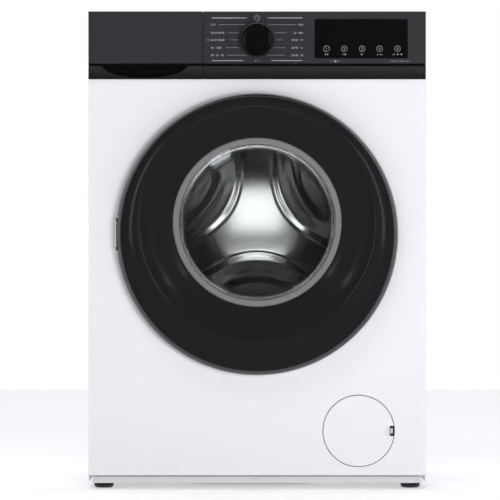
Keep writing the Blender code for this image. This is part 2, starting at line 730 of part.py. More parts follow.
def tub_rear_half():
    y1 = TUB_Y1
    points = [(TUB_R + 0.007, TUB_SPLIT + GAP), (TUB_R + 0.007, TUB_SPLIT + 0.008),
              (TUB_R, TUB_SPLIT + 0.008), (TUB_R, y1 - 0.006), (TUB_R - 0.006, y1),
              (0.060, y1 + 0.004), (0.045, y1 + 0.010), (0.045, 0.190), (BEARING_R[1] + GAP, 0.190),
              (BEARING_R[1] + GAP, 0.1715), (0.022, 0.1715), (0.022, 0.1665),
              (BEARING_R[0] + GAP, 0.1665), (BEARING_R[0] + GAP, y1 - 0.001), (0.058, y1 - 0.001),
              (TUB_IN - 0.005, y1 - TUB_WALL - 0.001), (TUB_IN, y1 - 0.008), (TUB_IN, TUB_SPLIT + GAP)]
    half = turned("tub_rear_half", points, TUB_GREY, (0, DRUM_Z), BIG)
    for word, side in (("left", -1), ("right", 1)):
        lug = box_tool(f"{word}_damper_lug", (side * DAMPER_X - 0.012, DAMPER_Y - 0.014, LUG_Z),
                       (side * DAMPER_X + 0.012, DAMPER_Y + 0.014, LUG_Z + 0.0475))
        boolean(half, lug, "UNION")
        ear = box_tool(f"{word}_spring_ear", (side * SPRING_X - 0.014, SPRING_Y, EAR_Z),
                       (side * SPRING_X + 0.014, SPRING_Y + 0.016, SPRING_Z[0] - 0.002))
        boolean(half, ear, "UNION")
    boolean(half, rod_tool("tub_rear_cavity", TUB_IN - 0.0005, 0, DRUM_Z, TUB_SPLIT - 0.01,
                           y1 - 0.0085, BIG))
    for word, side in (("left", -1), ("right", 1)):
        notch = sorted((side * (SPRING_X - 0.004), side * (SPRING_X + 0.03)))
        boolean(half, box_tool(f"{word}_ear_notch", (notch[0], SPRING_Y - 0.01, SPRING_Z[0] - 0.020),
                               (notch[1], SPRING_Y + 0.03, SPRING_Z[0] - 0.008)))
    boolean(half, box_tool("heater_hole", (-HEATER_X - 0.006, y1 - 0.02, HEATER_Z - 0.0045),
                           (HEATER_X + 0.006, y1 + 0.01, HEATER_Z + 0.0045)))
    return half


HEATER_X = 0.025
HEATER_Z = DRUM_Z - TUB_IN + 0.0092


def heater():
    back, front, x = TUB_Y1 + 0.012, -0.090, HEATER_X
    bend = [(x * math.cos(a), front - x * math.sin(a), HEATER_Z)
            for a in [math.pi * i / 8 for i in range(9)]]
    legs = [(x, back, HEATER_Z), *bend, (-x, back, HEATER_Z)]
    element = put("heater", solid_from_curve(wire(legs, 0.0033), "heater"), STEEL)
    block_at = box_tool("heater_flange", (-0.036, TUB_Y1 + 0.0005, HEATER_Z - 0.008),
                        (0.036, TUB_Y1 + 0.010, HEATER_Z + 0.008))
    return boolean(element, block_at, "UNION")


def counterweight_front():
    y0, y1 = TUB_Y0 - 0.031, TUB_Y0 - 0.003
    outer, inner = TUB_R - 0.012, MOUTH_R + TUB_WALL + 0.0165
    ring = turned("counterweight_front", [(outer, y0), (outer, y1), (inner, y1), (inner, y0)],
                  CONCRETE, (0, DRUM_Z), BIG)
    boolean(ring, box_tool("lock_room", (HOOK_X - 0.112, y0 - 0.01, DOOR_Z - 0.074),
                           (TUB_R + 0.045, y1 + 0.01, DOOR_Z + 0.086)))
    return ring


def counterweight_top():
    slab = box("counterweight_top", (-0.080, -0.080, TUB_TOP - 0.087),
               (SPRING_X - 0.015, 0.080, TUB_TOP + 0.058), CONCRETE)
    boolean(slab, rod_tool("tub_seat", TUB_R + 0.0085, 0, DRUM_Z, -0.12, 0.12, BIG))
    return slab


def bearing(name, inner, outer, y0, y1):
    return turned(name, [(outer, y0), (outer, y1), (inner, y1), (inner, y0)], STEEL, (0, DRUM_Z), MID)


def motor_stator():
    y0, y1 = 0.010, 0.170
    points = [(0, y0), (MOTOR_R - 0.004, y0), (MOTOR_R, y0 + 0.006), (MOTOR_R, y1 - 0.006),
              (MOTOR_R - 0.004, y1), (0.009, y1), (0.009, y1 - 0.020), (0, y1 - 0.020)]
    casing = turned("motor_stator", points, DARK, (0, MOTOR_Z), MID, closed=False)
    for i, y in enumerate((0.035, 0.135)):
        post = box_tool(f"motor_post_{i}", (-0.020, y - 0.010, MOTOR_Z + 0.045),
                        (0.020, y + 0.010, DRUM_Z - TUB_R - 0.0008))
        boolean(casing, post, "UNION")
    return casing


def motor_pulley():
    r, half = MOTOR_PULLEY_R, BELT_W / 2 + 0.001
    y = PULLEY_Y
    points = [(0, y + half + 0.003), (0.0058, y + half + 0.003), (r + 0.002, y + half + 0.0015),
              (r + 0.002, y + half), (r, y + half), (r, y - half), (r + 0.002, y - half),
              (r + 0.002, y - half - 0.002), (0.0058, y - half - 0.002), (0.0058, 0.155), (0, 0.155)]
    return turned("motor_pulley", points[::-1], ALUMINIUM, (0, MOTOR_Z), SMALL, closed=False)


def drum_pulley():
    y, half, r = PULLEY_Y, BELT_W / 2 + 0.001, PULLEY_R
    hub, bore = 0.028, SHAFT_R[1] + GAP
    points = [(r, y - half), (r, y + half), (r - 0.004, y + half), (r - 0.004, y + 0.002),
              (hub, y + 0.002), (hub, y + 0.007), (bore, y + 0.007), (bore, y - 0.010),
              (hub, y - 0.010), (hub, y - 0.002), (r - 0.004, y - 0.002), (r - 0.004, y - half)]
    wheel = turned("drum_pulley", points, ALUMINIUM, (0, DRUM_Z), BIG)
    for i in range(5):
        angle = math.radians(90 + 72 * i)
        boolean(wheel, rod_tool(f"pulley_window_{i}", 0.040, 0.084 * math.cos(angle),
                                DRUM_Z + 0.084 * math.sin(angle), y - 0.02, y + 0.02, 10))
    return wheel


def belt_loop(grow):
    """Outline of a band round both pulleys, a given distance outside them."""
    big, small, span = PULLEY_R + grow, MOTOR_PULLEY_R + grow, DRUM_Z - MOTOR_Z
    lean = math.degrees(math.asin((big - small) / span))
    upper = arc(0, 0, big, -lean, 180 + lean, 30)
    lower = arc(0, -span, small, 180 + lean, 360 - lean, 8)
    return upper + lower


def drive_belt():
    loops = [belt_loop(0.0005 + BELT_T), belt_loop(0.0005)]
    return put("drive_belt", plate_mesh(loops, BELT_W), RUBBER, (0, PULLEY_Y, DRUM_Z), ALONG_Y)


tub_front_half()
tub_rear_half()
heater()
counterweight_front()
counterweight_top()
bearing("bearing_front", SHAFT_R[0] + GAP, BEARING_R[0], 0.1500, 0.1660)
bearing("bearing_rear", SHAFT_R[1] + GAP, BEARING_R[1], 0.1725, 0.1885)
motor_stator()
motor_axis = pivot("motor_axis", (0, PULLEY_Y, MOTOR_Z))
hang(motor_axis, motor_pulley())
drive_belt()


# ---- drum ----------------------------------------------------------------------------------
def drum_shell():
    t, y0, y1, r = DRUM_SHEET, DRUM_Y0, DRUM_Y1, DRUM_R
    points = [(DRUM_MOUTH_R, y0), (r - 0.012, y0 + 0.006), (r, y0 + 0.018), (r, y1),
              (r - t, y1), (r - t, y0 + 0.0185), (r - 0.0125, y0 + 0.007), (DRUM_MOUTH_R, y0 + 0.0012)]
    return turned("drum_shell", points, STEEL, (0, DRUM_Z), BIG)


def drum_back():
    y, r = DRUM_Y1 + GAP, DRUM_R - 0.0005
    points = [(0, y + 0.002), (0.100, y + 0.002), (0.130, y), (r, y), (r, y + DRUM_SHEET),
              (0.130, y + DRUM_SHEET), (0.100, y + 0.002 + DRUM_SHEET), (0, y + 0.002 + DRUM_SHEET)]
    return turned("drum_back", points, STEEL, (0, DRUM_Z), BIG, closed=False)


def paddle(name, angle, tip):
    """A hollow lifter, open below: wide foot on the drum wall, blunt tip towards the axis."""
    base, foot_half, tip_half = DRUM_R - DRUM_SHEET - 0.005, 0.038, 0.0225
    outline = [(foot_half, base), (0.030, base - 0.020), (tip_half, tip + 0.006),
               (tip_half - 0.006, tip)]
    outline += [(-x, y) for x, y in reversed(outline)]
    y0, y1 = DRUM_Y0 + 0.022, DRUM_Y1 - 0.006
    place, lie = (0, (y0 + y1) / 2, DRUM_Z), (math.radians(90), math.radians(90 - angle), 0)
    lift = put(name, plate_mesh([outline], y1 - y0), LIGHT, place, lie)
    wall = 0.003
    inside = [(foot_half - wall, base + 0.01), (0.030 - wall, base - 0.020), (tip_half - wall, tip + 0.009)]
    inside += [(-x, y) for x, y in reversed(inside)]
    return boolean(lift, tool(f"{name}_hollow", plate_mesh([inside], y1 - y0 - 2 * wall), place, lie))


SPIDER_Y = DRUM_Y1 + 0.0045


def drum_spider():
    y0 = SPIDER_Y
    r0, r1 = SHAFT_R
    points = [(0, y0), (0.040, y0), (0.040, y0 + 0.012), (0.026, y0 + 0.022), (r0, y0 + 0.022),
              (r0, 0.1690), (r1, 0.1695), (r1, 0.2150), (0, 0.2150)]
    hub = turned("drum_spider", points, ALUMINIUM, (0, DRUM_Z), MID, closed=False)
    for i in range(3):
        data, middle = block((0, -0.014, 0.001), (DRUM_R - 0.0185, 0.014, 0.013))
        bm = bmesh.new()
        bm.from_mesh(data)
        bmesh.ops.translate(bm, verts=bm.verts, vec=middle)
        arm = tool(f"spider_arm_{i}", mesh_of(bm, "arm"), (0, y0 + 0.0135, DRUM_Z))
        arm.rotation_euler = (math.radians(90), math.radians(-90 - 120 * i), 0)
        boolean(hub, arm, "UNION")
    return hub


drum_axis = pivot("drum_axis", (0, 0, DRUM_Z))
hang(drum_axis, drum_shell(), drum_back(), drum_spider(), drum_pulley(), paddle("paddle_1", 120, 0.128),
     paddle("paddle_2", 240, 0.155), paddle("paddle_3", 0, 0.155))


# ---- suspension ----------------------------------------------------------------------------
def spring(side):
    word = "left" if side < 0 else "right"
    x, coil, gauge, turns, steps = side * SPRING_X, 0.010, 0.0018, 7, 7
    z0, z1 = SPRING_Z[0] + 0.012, SPRING_Z[1] - 0.012
    y, low, high = SPRING_Y, SPRING_Z[0], SPRING_Z[1]
    body = [(x + coil * math.cos(2 * math.pi * i / steps),
             y + 0.004 + coil * math.sin(2 * math.pi * i / steps),
             z0 + (z1 - z0) * i / (turns * steps)) for i in range(turns * steps + 1)]
    foot_end = [(x, y - 0.004, low - 0.013), (x, y + 0.004, low - 0.014), (x, y + 0.020, low - 0.013),
                (x, y + 0.0215, low + 0.004), (x + 0.006, y + 0.012, low + 0.010)]
    top_end = [(x + 0.006, y + 0.001, high - 0.008), (x, y, high - 0.002),
               (x, y, high + 0.0085), (x, y + 0.008, high + 0.0085)]
    return put(f"spring_{word}", wire(foot_end + body + top_end, gauge), STEEL)


def damper(side):
    word = "left" if side < 0 else "right"
    place = (side * DAMPER_X, DAMPER_Y)
    floor = BASE_Z + BASE_WALL + GAP
    barrel = [(0, floor + 0.020), (ROD_R + 0.0015, floor + 0.020), (ROD_R + 0.0015, 0.170),
              (DAMPER_R, 0.170), (DAMPER_R, floor + 0.012), (0.012, floor + 0.006), (0.012, floor),
              (0, floor)]
    turned_up(f"damper_cylinder_{word}", barrel, DARK, place, SMALL, closed=False)
    top = LUG_Z - GAP
    rod = [(0, top), (0.011, top), (0.011, top - 0.010), (ROD_R, top - 0.014), (ROD_R, 0.060), (0, 0.060)]
    turned_up(f"damper_rod_{word}", rod, STEEL, place, SMALL, closed=False)


for side in (-1, 1):
    spring(side)
    damper(side)


# ---- pump, sump hose, drain hose and filter ------------------------------------------------
def pump_housing():
    y0, y1 = -0.228, -0.060
    bore = FILTER_R + 0.0015
    points = [(0, -0.110), (bore, -0.110), (bore, y0), (BARREL_R + 0.008, y0),
              (BARREL_R + 0.008, y0 + 0.004), (BARREL_R, y0 + 0.004), (BARREL_R, -0.115),
              (0.044, -0.110), (0.044, -0.078), (0.030, -0.074), (0.030, y1 + 0.040), (0, y1 + 0.040)]
    casing = turned("pump_housing", points, DARK, (FLAP_X, FLAP_Z), MID, closed=False)
    x, y = SUMP
    neck_low = FLAP_Z
    boolean(casing, post_tool("pump_neck", 0.0205, x, y, neck_low, 0.1545), "UNION")
    boolean(casing, post_tool("pump_neck_bore", 0.0165, x, y, neck_low + 0.01, 0.165))
    boolean(casing, rod_tool("filter_bore", bore - 0.0002, FLAP_X, FLAP_Z, y0 - 0.01, -0.1105))
    return casing


def sump_hose():
    points = pleats(0.2045, 0.1550, 0.0185, 0.0045, 3, 0.0025)
    return turned_up("sump_hose", points, RUBBER, SUMP, SMALL)


def drain_hose():
    x, z = DRAIN
    stops = ((0.2262, -0.094, FLAP_Z), (0.236, -0.094, FLAP_Z), (0.260, -0.074, 0.098),
             (0.266, 0.020, 0.070), (0.262, 0.120, 0.070), (0.256, 0.195, 0.085),
             (0.258, 0.226, 0.170), (0.262, 0.226, 0.400), (0.262, 0.222, 0.620),
             (0.262, 0.232, 0.685), (x, 0.252, z), (x, 0.280, z))
    return put("drain_hose", wire(smooth_route(stops, 0.040), HOSE_R), RUBBER)


def pump_filter():
    cap, grip = -0.2345, -0.2385
    points = [(0, cap), (BARREL_R, cap), (BARREL_R, cap + 0.004), (FILTER_R, cap + 0.004),
              (FILTER_R, -0.150), (0.020, -0.135), (0, -0.135)]
    plug = turned("pump_filter", points, DARK, (FLAP_X, FLAP_Z), MID, closed=False)
    bar = box_tool("filter_grip", (FLAP_X - 0.025, grip, FLAP_Z - 0.005),
                   (FLAP_X + 0.025, cap + 0.001, FLAP_Z + 0.005))
    return boolean(plug, bar, "UNION")


def filter_flap():
    y0, t = FRONT_Y - 0.0005, 0.0025
    disc = put("filter_flap", rod_mesh(FLAP_R, t, 40), WHITE, (FLAP_X, y0 + t, FLAP_Z), ALONG_Y)
    notch = box_tool("finger_notch", (FLAP_X + FLAP_R - 0.008, y0 - 0.01, FLAP_Z - 0.009),
                     (FLAP_X + FLAP_R + 0.01, y0 + 0.01, FLAP_Z + 0.009))
    return boolean(disc, notch)


pump_housing()
sump_hose()
drain_hose()
filter_axis = pivot("filter_axis", (FLAP_X, FRONT_Y, FLAP_Z))
hang(filter_axis, pump_filter())
flap_axis = pivot("flap_axis", (FLAP_X - FLAP_HINGE, FRONT_Y - 0.0005, FLAP_Z))
hang(flap_axis, filter_flap())


# ---- door seal and door --------------------------------------------------------------------
def door_gasket():
    y, r = FRONT_Y, WINDOW_R
    points = [(r - 0.0110, y + 0.0200), (r + 0.0160, y + 0.0165), (r + 0.0185, y + 0.0180),
              (r + 0.0185, y + 0.0310), (r + 0.0125, y + 0.0380), (r + 0.0125, TUB_Y0 - 0.0035),
              (r + 0.0100, TUB_Y0 - 0.0035), (r + 0.0100, y + 0.0370), (r + 0.0155, y + 0.0300),
              (r + 0.0155, y + 0.0200), (r - 0.0105, y + 0.0230)]
    return turned("door_gasket", points, RUBBER, (0, DRUM_Z), BIG)


def door_ring():
    zw, zd, t = DRUM_Z, DOOR_Z, DOOR_WALL
    front = [(zw, WINDOW_R, -0.2590), (zw, WINDOW_R, -0.2620), (zw, WINDOW_R + 0.010, -0.2655),
             (zw, DISH_R - 0.002, -0.2790), (zw - 0.001, DISH_R + 0.0025, DOOR_FRONT + 0.0005),
             (zw - 0.006, DISH_R + 0.012, DOOR_FRONT), (zd + 0.006, DOOR_R - 0.014, -0.2790),
             (zd + 0.002, DOOR_R - 0.0045, -0.2710), (zd, DOOR_R, -0.2600), (zd, DOOR_R, DOOR_BACK)]
    back = [(zd, DOOR_R - t, DOOR_BACK), (zd, DOOR_R - t, -0.2600), (zd + 0.002, DOOR_R - 0.008, -0.2690),
            (zd + 0.006, DOOR_R - 0.017, -0.2758), (zw - 0.006, DISH_R + 0.012, DOOR_FRONT + t),
            (zw - 0.001, DISH_R + 0.004, DOOR_FRONT + t + 0.0007), (zw, DISH_R, -0.2760),
            (zw, WINDOW_R + 0.012, -0.2625), (zw, WINDOW_R + 0.006, -0.2590)]
    ring = loft("door_ring", front + back, DOOR_SIDES, BLACK, (HINGE_X, HINGE_Y, DOOR_Z))
    boolean(ring, box_tool("hinge_pocket", (-DOOR_R - 0.01, HINGE_Y - 0.0055, DOOR_Z - HINGE_HALF),
                           (HINGE_X + 0.012, DOOR_BACK + 0.02, DOOR_Z + HINGE_HALF)))
    boolean(ring, box_tool("grip_notch", (DOOR_R - 0.030, -0.2620, DOOR_Z - 0.045),
                           (DOOR_R + 0.01, DOOR_BACK + 0.02, DOOR_Z + 0.045)))
    return ring


def door_glass():
    t, tip, back = GLASS_T, DOOR_BACK + BOWL_DEPTH, DOOR_BACK - 0.004
    r = WINDOW_R
    outer = [(0, tip), (0.060, tip - 0.0001), (r - 0.0320, tip - 0.0006), (r - 0.0200, tip - 0.0028),
             (r - 0.0155, tip - 0.0075), (r - 0.0138, tip - 0.0140), (r - 0.0118, tip - 0.0430),
             (r - 0.0035, back), (r + 0.0045, back), (r + 0.0045, back - t), (r - 0.0060, back - t),
             (r - 0.0145, back + 0.0040), (r - 0.0178, tip - 0.0140), (r - 0.0192, tip - 0.0098),
             (r - 0.0225, tip - 0.0066), (r - 0.0320, tip - 0.0047), (0.0595, tip - t - 0.0001),
             (0, tip - t)]
    return turned("door_glass", outer[::-1], CLEAR, (0, DRUM_Z), BIG, closed=False)


def door_inner_ring():
    y0, y1 = -0.2535, -0.2470
    zw, zd = DRUM_Z, DOOR_Z
    bore, rib = WINDOW_R - 0.002, (WINDOW_R + 0.010, WINDOW_R + 0.007)
    rings = [(zw, bore, y1), (zd, DOOR_R - 0.012, y1), (zd, DOOR_R - 0.012, y0 - 0.004),
             (zd, DOOR_R - 0.0145, y0 - 0.004), (zd, DOOR_R - 0.0145, y0 + 0.004),
             (zw, rib[0], y0 + 0.003), (zw, rib[0], y0 - 0.004), (zw, rib[1], y0 - 0.004),
             (zw, rib[1], y0 + 0.003), (zw, bore, y0 + 0.003)]
    frame = loft("door_inner_ring", rings, DOOR_SIDES, DARK, (HINGE_X, HINGE_Y, DOOR_Z))
    boolean(frame, box_tool("hinge_room", (-DOOR_R, y0 - 0.02, DOOR_Z - HINGE_HALF - 0.002),
                            (HINGE_X + 0.030, y1 + 0.02, DOOR_Z + HINGE_HALF + 0.002)))
    boolean(frame, box_tool("grip_room", (DOOR_R - 0.028, y0 - 0.02, DOOR_Z - 0.047),
                            (DOOR_R + 0.02, y1 + 0.02, DOOR_Z + 0.047)))
    boolean(frame, box_tool("hook_slot", (HOOK_X - 0.0105, y0 - 0.02, DOOR_Z - 0.0105),
                            (HOOK_X + 0.009, y1 + 0.02, DOOR_Z + 0.0105)))
    return frame


def hinge_bracket():
    """Plate on the front panel with two leaning ears and the fixed hinge pin."""
    y = FRONT_Y - GAP
    plate = box("hinge_bracket", (HINGE_X + 0.010, y - 0.0020, DOOR_Z - 0.029),
                (HINGE_X + 0.046, y, DOOR_Z + 0.029), STEEL)
    for i, low in enumerate((-0.029, 0.020)):
        outline = [(0.010, 0.0182), (0.024, 0.0182), *arc(0, 0, 0.0042, -60, -210, 8)]
        ear = tool(f"hinge_ear_{i}", plate_mesh([outline], 0.009),
                   (HINGE_X, HINGE_Y, DOOR_Z + low + 0.0045))
        boolean(plate, ear, "UNION")
    pin = post_tool("hinge_pin", 0.0025, HINGE_X, HINGE_Y, DOOR_Z - 0.027, DOOR_Z + 0.027, 12)
    return boolean(plate, pin, "UNION")


def hinge_arm():
    """Steel leaf that carries the door: an eye round the pin and a tongue under the frame."""
    reach = 0.052
    eye = [*arc(0, 0, 0.0045, 70, 290, 8), (0.010, -0.0025), (reach, -0.0025), (reach, 0.0045),
           (0.010, 0.0045)]
    hole = arc(0, 0, 0.0028, 0, 330, 11)
    height = 0.038
    leaf = put("hinge_arm", plate_mesh([eye, hole], height), STEEL, (HINGE_X, HINGE_Y, DOOR_Z))
    return leaf


def latch_hook():
    """Hook on the door that the lock holds: a shank with its nose towards +X."""
    outline = [(-0.0045, -0.0045), (0.0045, -0.0045), (0.0030, 0.0250), (0.0080, 0.0262), (0.0070, 0.0320),
               (0.0020, 0.0360), (-0.0030, 0.0350)]
    return put("latch_hook", plate_mesh([outline], 0.014), ZINC, (HOOK_X, HOOK_Y, DOOR_Z))


def door_lock():
    y0, y1 = FRONT_Y + SHEET + GAP, FRONT_Y + 0.044
    case = box("door_lock", (HOOK_X - 0.022, y0, DOOR_Z - 0.045), (HOOK_X + 0.026, y1, DOOR_Z + 0.050), DARK)
    return boolean(case, box_tool("lock_throat", (HOOK_X - 0.014, y0 - 0.01, DOOR_Z - 0.019),
                                  (HOOK_X + 0.014, y1 - 0.008, DOOR_Z + 0.019)))


door_gasket()
hinge_bracket()
door_lock()
door_axis = pivot("door_hinge_axis", (HINGE_X, HINGE_Y, DOOR_Z))
hang(door_axis, door_ring(), door_glass(), door_inner_ring(), hinge_arm())
hook_axis = pivot("latch_axis", (HOOK_X, HOOK_Y, DOOR_Z))
hang(hook_axis, latch_hook())
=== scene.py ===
# A front loading washing machine, dressed in the order in which it is put together: base and feet,
# cabinet, tub and drum, seal and door, detergent drawer, console, back, and last the studio.
import bpy
import json
import math
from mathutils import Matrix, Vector


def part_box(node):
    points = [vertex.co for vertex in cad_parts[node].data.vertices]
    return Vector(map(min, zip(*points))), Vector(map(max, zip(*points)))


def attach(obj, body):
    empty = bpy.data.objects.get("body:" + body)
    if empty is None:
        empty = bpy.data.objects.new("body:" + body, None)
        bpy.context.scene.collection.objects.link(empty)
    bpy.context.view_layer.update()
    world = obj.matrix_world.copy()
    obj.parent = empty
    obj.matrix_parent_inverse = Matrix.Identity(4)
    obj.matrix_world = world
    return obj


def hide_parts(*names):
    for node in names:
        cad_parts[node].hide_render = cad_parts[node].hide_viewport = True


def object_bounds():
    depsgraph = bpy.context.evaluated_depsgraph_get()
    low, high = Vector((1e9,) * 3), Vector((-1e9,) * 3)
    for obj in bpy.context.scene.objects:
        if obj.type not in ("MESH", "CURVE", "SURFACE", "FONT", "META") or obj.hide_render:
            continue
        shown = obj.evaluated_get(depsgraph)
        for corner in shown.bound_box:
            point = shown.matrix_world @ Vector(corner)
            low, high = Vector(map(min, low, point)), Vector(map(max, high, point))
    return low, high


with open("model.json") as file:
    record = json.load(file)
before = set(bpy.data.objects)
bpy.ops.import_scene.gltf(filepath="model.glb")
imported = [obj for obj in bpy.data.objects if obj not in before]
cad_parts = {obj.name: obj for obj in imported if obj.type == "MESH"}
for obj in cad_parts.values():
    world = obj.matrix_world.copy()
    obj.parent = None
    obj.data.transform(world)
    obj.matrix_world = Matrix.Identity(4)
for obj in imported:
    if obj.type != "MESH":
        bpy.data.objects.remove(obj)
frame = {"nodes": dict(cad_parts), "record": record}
cad_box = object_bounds()

# ---- base, plinth strip and screws -----------------------------------------------------------
# The machine stands on a moulded tray that carries the dampers, the pump and the four feet. A light
# grey strip closes the slot under the front panel and is held by three cross-head screws.


def editing(on):
    """Open the active piece's mesh for editing, or close it."""
    bpy.ops.object.mode_set(mode="EDIT" if on else "OBJECT")


def smooth(angle):
    """Shade the active piece smooth, with edges sharper than this many degrees left hard."""
    bpy.ops.object.shade_smooth_by_angle(angle=math.radians(angle))


def dial(node, **settings):
    """Set inputs of a shader node; an underscore stands for a space."""
    for label, value in settings.items():
        node.inputs[label.replace("_", " ")].default_value = value


def only(piece):
    """Select one piece alone and make it active."""
    bpy.ops.object.select_all(action="DESELECT")
    piece.select_set(True)
    bpy.context.view_layer.objects.active = piece


def fitted(piece, name, finish, body, slot, *stands_for):
    """Finish a piece: apply its modifiers and place, paint it and fix it to its body."""
    only(piece)
    for step in list(piece.modifiers):
        bpy.ops.object.modifier_apply(modifier=step.name)
    bpy.ops.object.transform_apply(location=True, rotation=True, scale=True)
    piece.name = name
    piece.data.name = name
    piece.data.materials.clear()
    piece.data.materials.append(finish)
    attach(piece, body)
    if stands_for:
        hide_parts(*stands_for)
    return piece


def repaint(finish, *nodes):
    """Give a carried CAD node a worked finish."""
    for node in nodes:
        frame["nodes"][node].data.materials.clear()
        frame["nodes"][node].data.materials.append(finish)


def soften(piece, width, segments=3, angle=35):
    """Round over the edges of a piece that are sharper than this many degrees."""
    edge = piece.modifiers.new("soften", "BEVEL")
    edge.width = width
    edge.segments = segments
    edge.limit_method = "ANGLE"
    edge.angle_limit = math.radians(angle)
    even = piece.modifiers.new("even", "WEIGHTED_NORMAL")
    even.keep_sharp = True
    return piece


def block(low, high, width=0.0, segments=3):
    """A box between two corners with its edges rounded over."""
    low, high = Vector(map(min, low, high)), Vector(map(max, low, high))
    bpy.ops.mesh.primitive_cube_add(size=1, location=(low + high) / 2, scale=high - low)
    piece = bpy.context.active_object
    bpy.ops.object.transform_apply(location=False, rotation=False, scale=True)
    smooth(35)
    return soften(piece, width, segments) if width else piece


def turned(profile, centre, sides, axis="Y", angle=30):
    """A profile of (radius, place along the axis), drawn by extrusion and spun right round."""
    def at(point):
        return Vector((point[0], point[1], 0) if axis == "Y" else (point[0], 0, point[1]))
    bpy.ops.mesh.primitive_circle_add(vertices=3, radius=0.001, location=centre)
    piece = bpy.context.active_object
    editing(True)
    bpy.ops.mesh.select_mode(type="VERT")
    bpy.ops.mesh.select_all(action="SELECT")
    bpy.ops.mesh.merge(type="CENTER")
    bpy.ops.transform.translate(value=at(profile[0]))
    for here, there in zip(profile, profile[1:]):
        bpy.ops.mesh.extrude_region_move(TRANSFORM_OT_translate={"value": at(there) - at(here)})
    bpy.ops.mesh.select_all(action="SELECT")
    bpy.ops.mesh.spin(steps=sides, angle=2 * math.pi, center=centre,
                      axis=(0, 1, 0) if axis == "Y" else (0, 0, 1))
    bpy.ops.mesh.select_all(action="SELECT")
    bpy.ops.mesh.remove_doubles(threshold=0.000005)
    bpy.ops.mesh.normals_make_consistent(inside=False)
    editing(False)
    smooth(angle)
    return piece


def cut(piece, guide, operation="DIFFERENCE"):
    """Cut a piece with a guide, or join the guide to it, and throw the guide away."""
    only(piece)
    step = piece.modifiers.new("cut", "BOOLEAN")
    step.object = guide
    step.operation = operation
    bpy.ops.object.modifier_apply(modifier=step.name)
    bpy.data.objects.remove(guide)
    return piece


def copies(piece, places):
    """The piece and its copies, each with its own mesh, moved by each offset."""
    made = []
    for offset in places:
        twin = piece.copy()
        twin.data = piece.data.copy()
        bpy.context.collection.objects.link(twin)
        twin.location = Vector(twin.location) + Vector(offset)
        made.append(twin)
    bpy.data.objects.remove(piece)
    return made


def mottle_group():
    """Shared effect: soft mottling that shifts a roughness and shades a colour."""
    group = bpy.data.node_groups.new("mottle", "ShaderNodeTree")
    face = group.interface
    for label, kind, start in (("Scale", "NodeSocketFloat", 20.0), ("Roughness", "NodeSocketFloat", 0.4),
                               ("Spread", "NodeSocketFloat", 0.1), ("Shade", "NodeSocketFloat", 0.05)):
        face.new_socket(name=label, in_out="INPUT", socket_type=kind).default_value = start
    colour = face.new_socket(name="Color", in_out="INPUT", socket_type="NodeSocketColor")
    colour.default_value = (0.5, 0.5, 0.5, 1)
    face.new_socket(name="Color", in_out="OUTPUT", socket_type="NodeSocketColor")
    face.new_socket(name="Roughness", in_out="OUTPUT", socket_type="NodeSocketFloat")
    nodes, links = group.nodes, group.links
    entry = nodes.new("NodeGroupInput")
    leave = nodes.new("NodeGroupOutput")
    place = nodes.new("ShaderNodeTexCoord")
    cloud = nodes.new("ShaderNodeTexNoise")
    dial(cloud, Detail=5, Roughness=0.6)
    links.new(place.outputs["Object"], cloud.inputs["Vector"])
    links.new(entry.outputs["Scale"], cloud.inputs["Scale"])
    centred = nodes.new("ShaderNodeMath")
    centred.operation = "SUBTRACT"
    centred.inputs[1].default_value = 0.5
    links.new(cloud.outputs["Fac"], centred.inputs[0])
    shift = nodes.new("ShaderNodeMath")
    shift.operation = "MULTIPLY_ADD"
    links.new(centred.outputs[0], shift.inputs[0])
    links.new(entry.outputs["Spread"], shift.inputs[1])
    links.new(entry.outputs["Roughness"], shift.inputs[2])
    links.new(shift.outputs[0], leave.inputs["Roughness"])
    gain = nodes.new("ShaderNodeMath")
    gain.operation = "MULTIPLY_ADD"
    links.new(centred.outputs[0], gain.inputs[0])
    links.new(entry.outputs["Shade"], gain.inputs[1])
    gain.inputs[2].default_value = 1.0
    tint = nodes.new("ShaderNodeVectorMath")
    tint.operation = "SCALE"
    links.new(entry.outputs["Color"], tint.inputs[0])
    links.new(gain.outputs[0], tint.inputs["Scale"])
    links.new(tint.outputs[0], leave.inputs["Color"])
    return group


MOTTLE = mottle_group()


def finish_of(name, colour, roughness, metallic=0.0, scale=25.0, spread=0.1, shade=0.06, bump=None,
              coat=0.0):
    """A Principled finish whose colour and roughness pass through the mottle, with a fine bump.
    bump is (kind, scale, strength, distance)."""
    finish = bpy.data.materials.new(name)
    finish.use_nodes = True
    nodes, links = finish.node_tree.nodes, finish.node_tree.links
    shader = nodes["Principled BSDF"]
    dial(shader, Metallic=metallic, Coat_Weight=coat, Coat_Roughness=0.04)
    mottle = nodes.new("ShaderNodeGroup")
    mottle.node_tree = MOTTLE
    dial(mottle, Color=(*colour, 1), Scale=scale, Roughness=roughness, Spread=spread, Shade=shade)
    links.new(mottle.outputs["Color"], shader.inputs["Base Color"])
    links.new(mottle.outputs["Roughness"], shader.inputs["Roughness"])
    if bump:
        kind, fine, strength, distance = bump
        place = nodes.new("ShaderNodeTexCoord")
        grain = nodes.new(kind)
        dial(grain, Scale=fine)
        links.new(place.outputs["Object"], grain.inputs["Vector"])
        raised = nodes.new("ShaderNodeBump")
        dial(raised, Strength=strength, Distance=distance)
        links.new(grain.outputs[0], raised.inputs["Height"])
        links.new(raised.outputs["Normal"], shader.inputs["Normal"])
    return finish


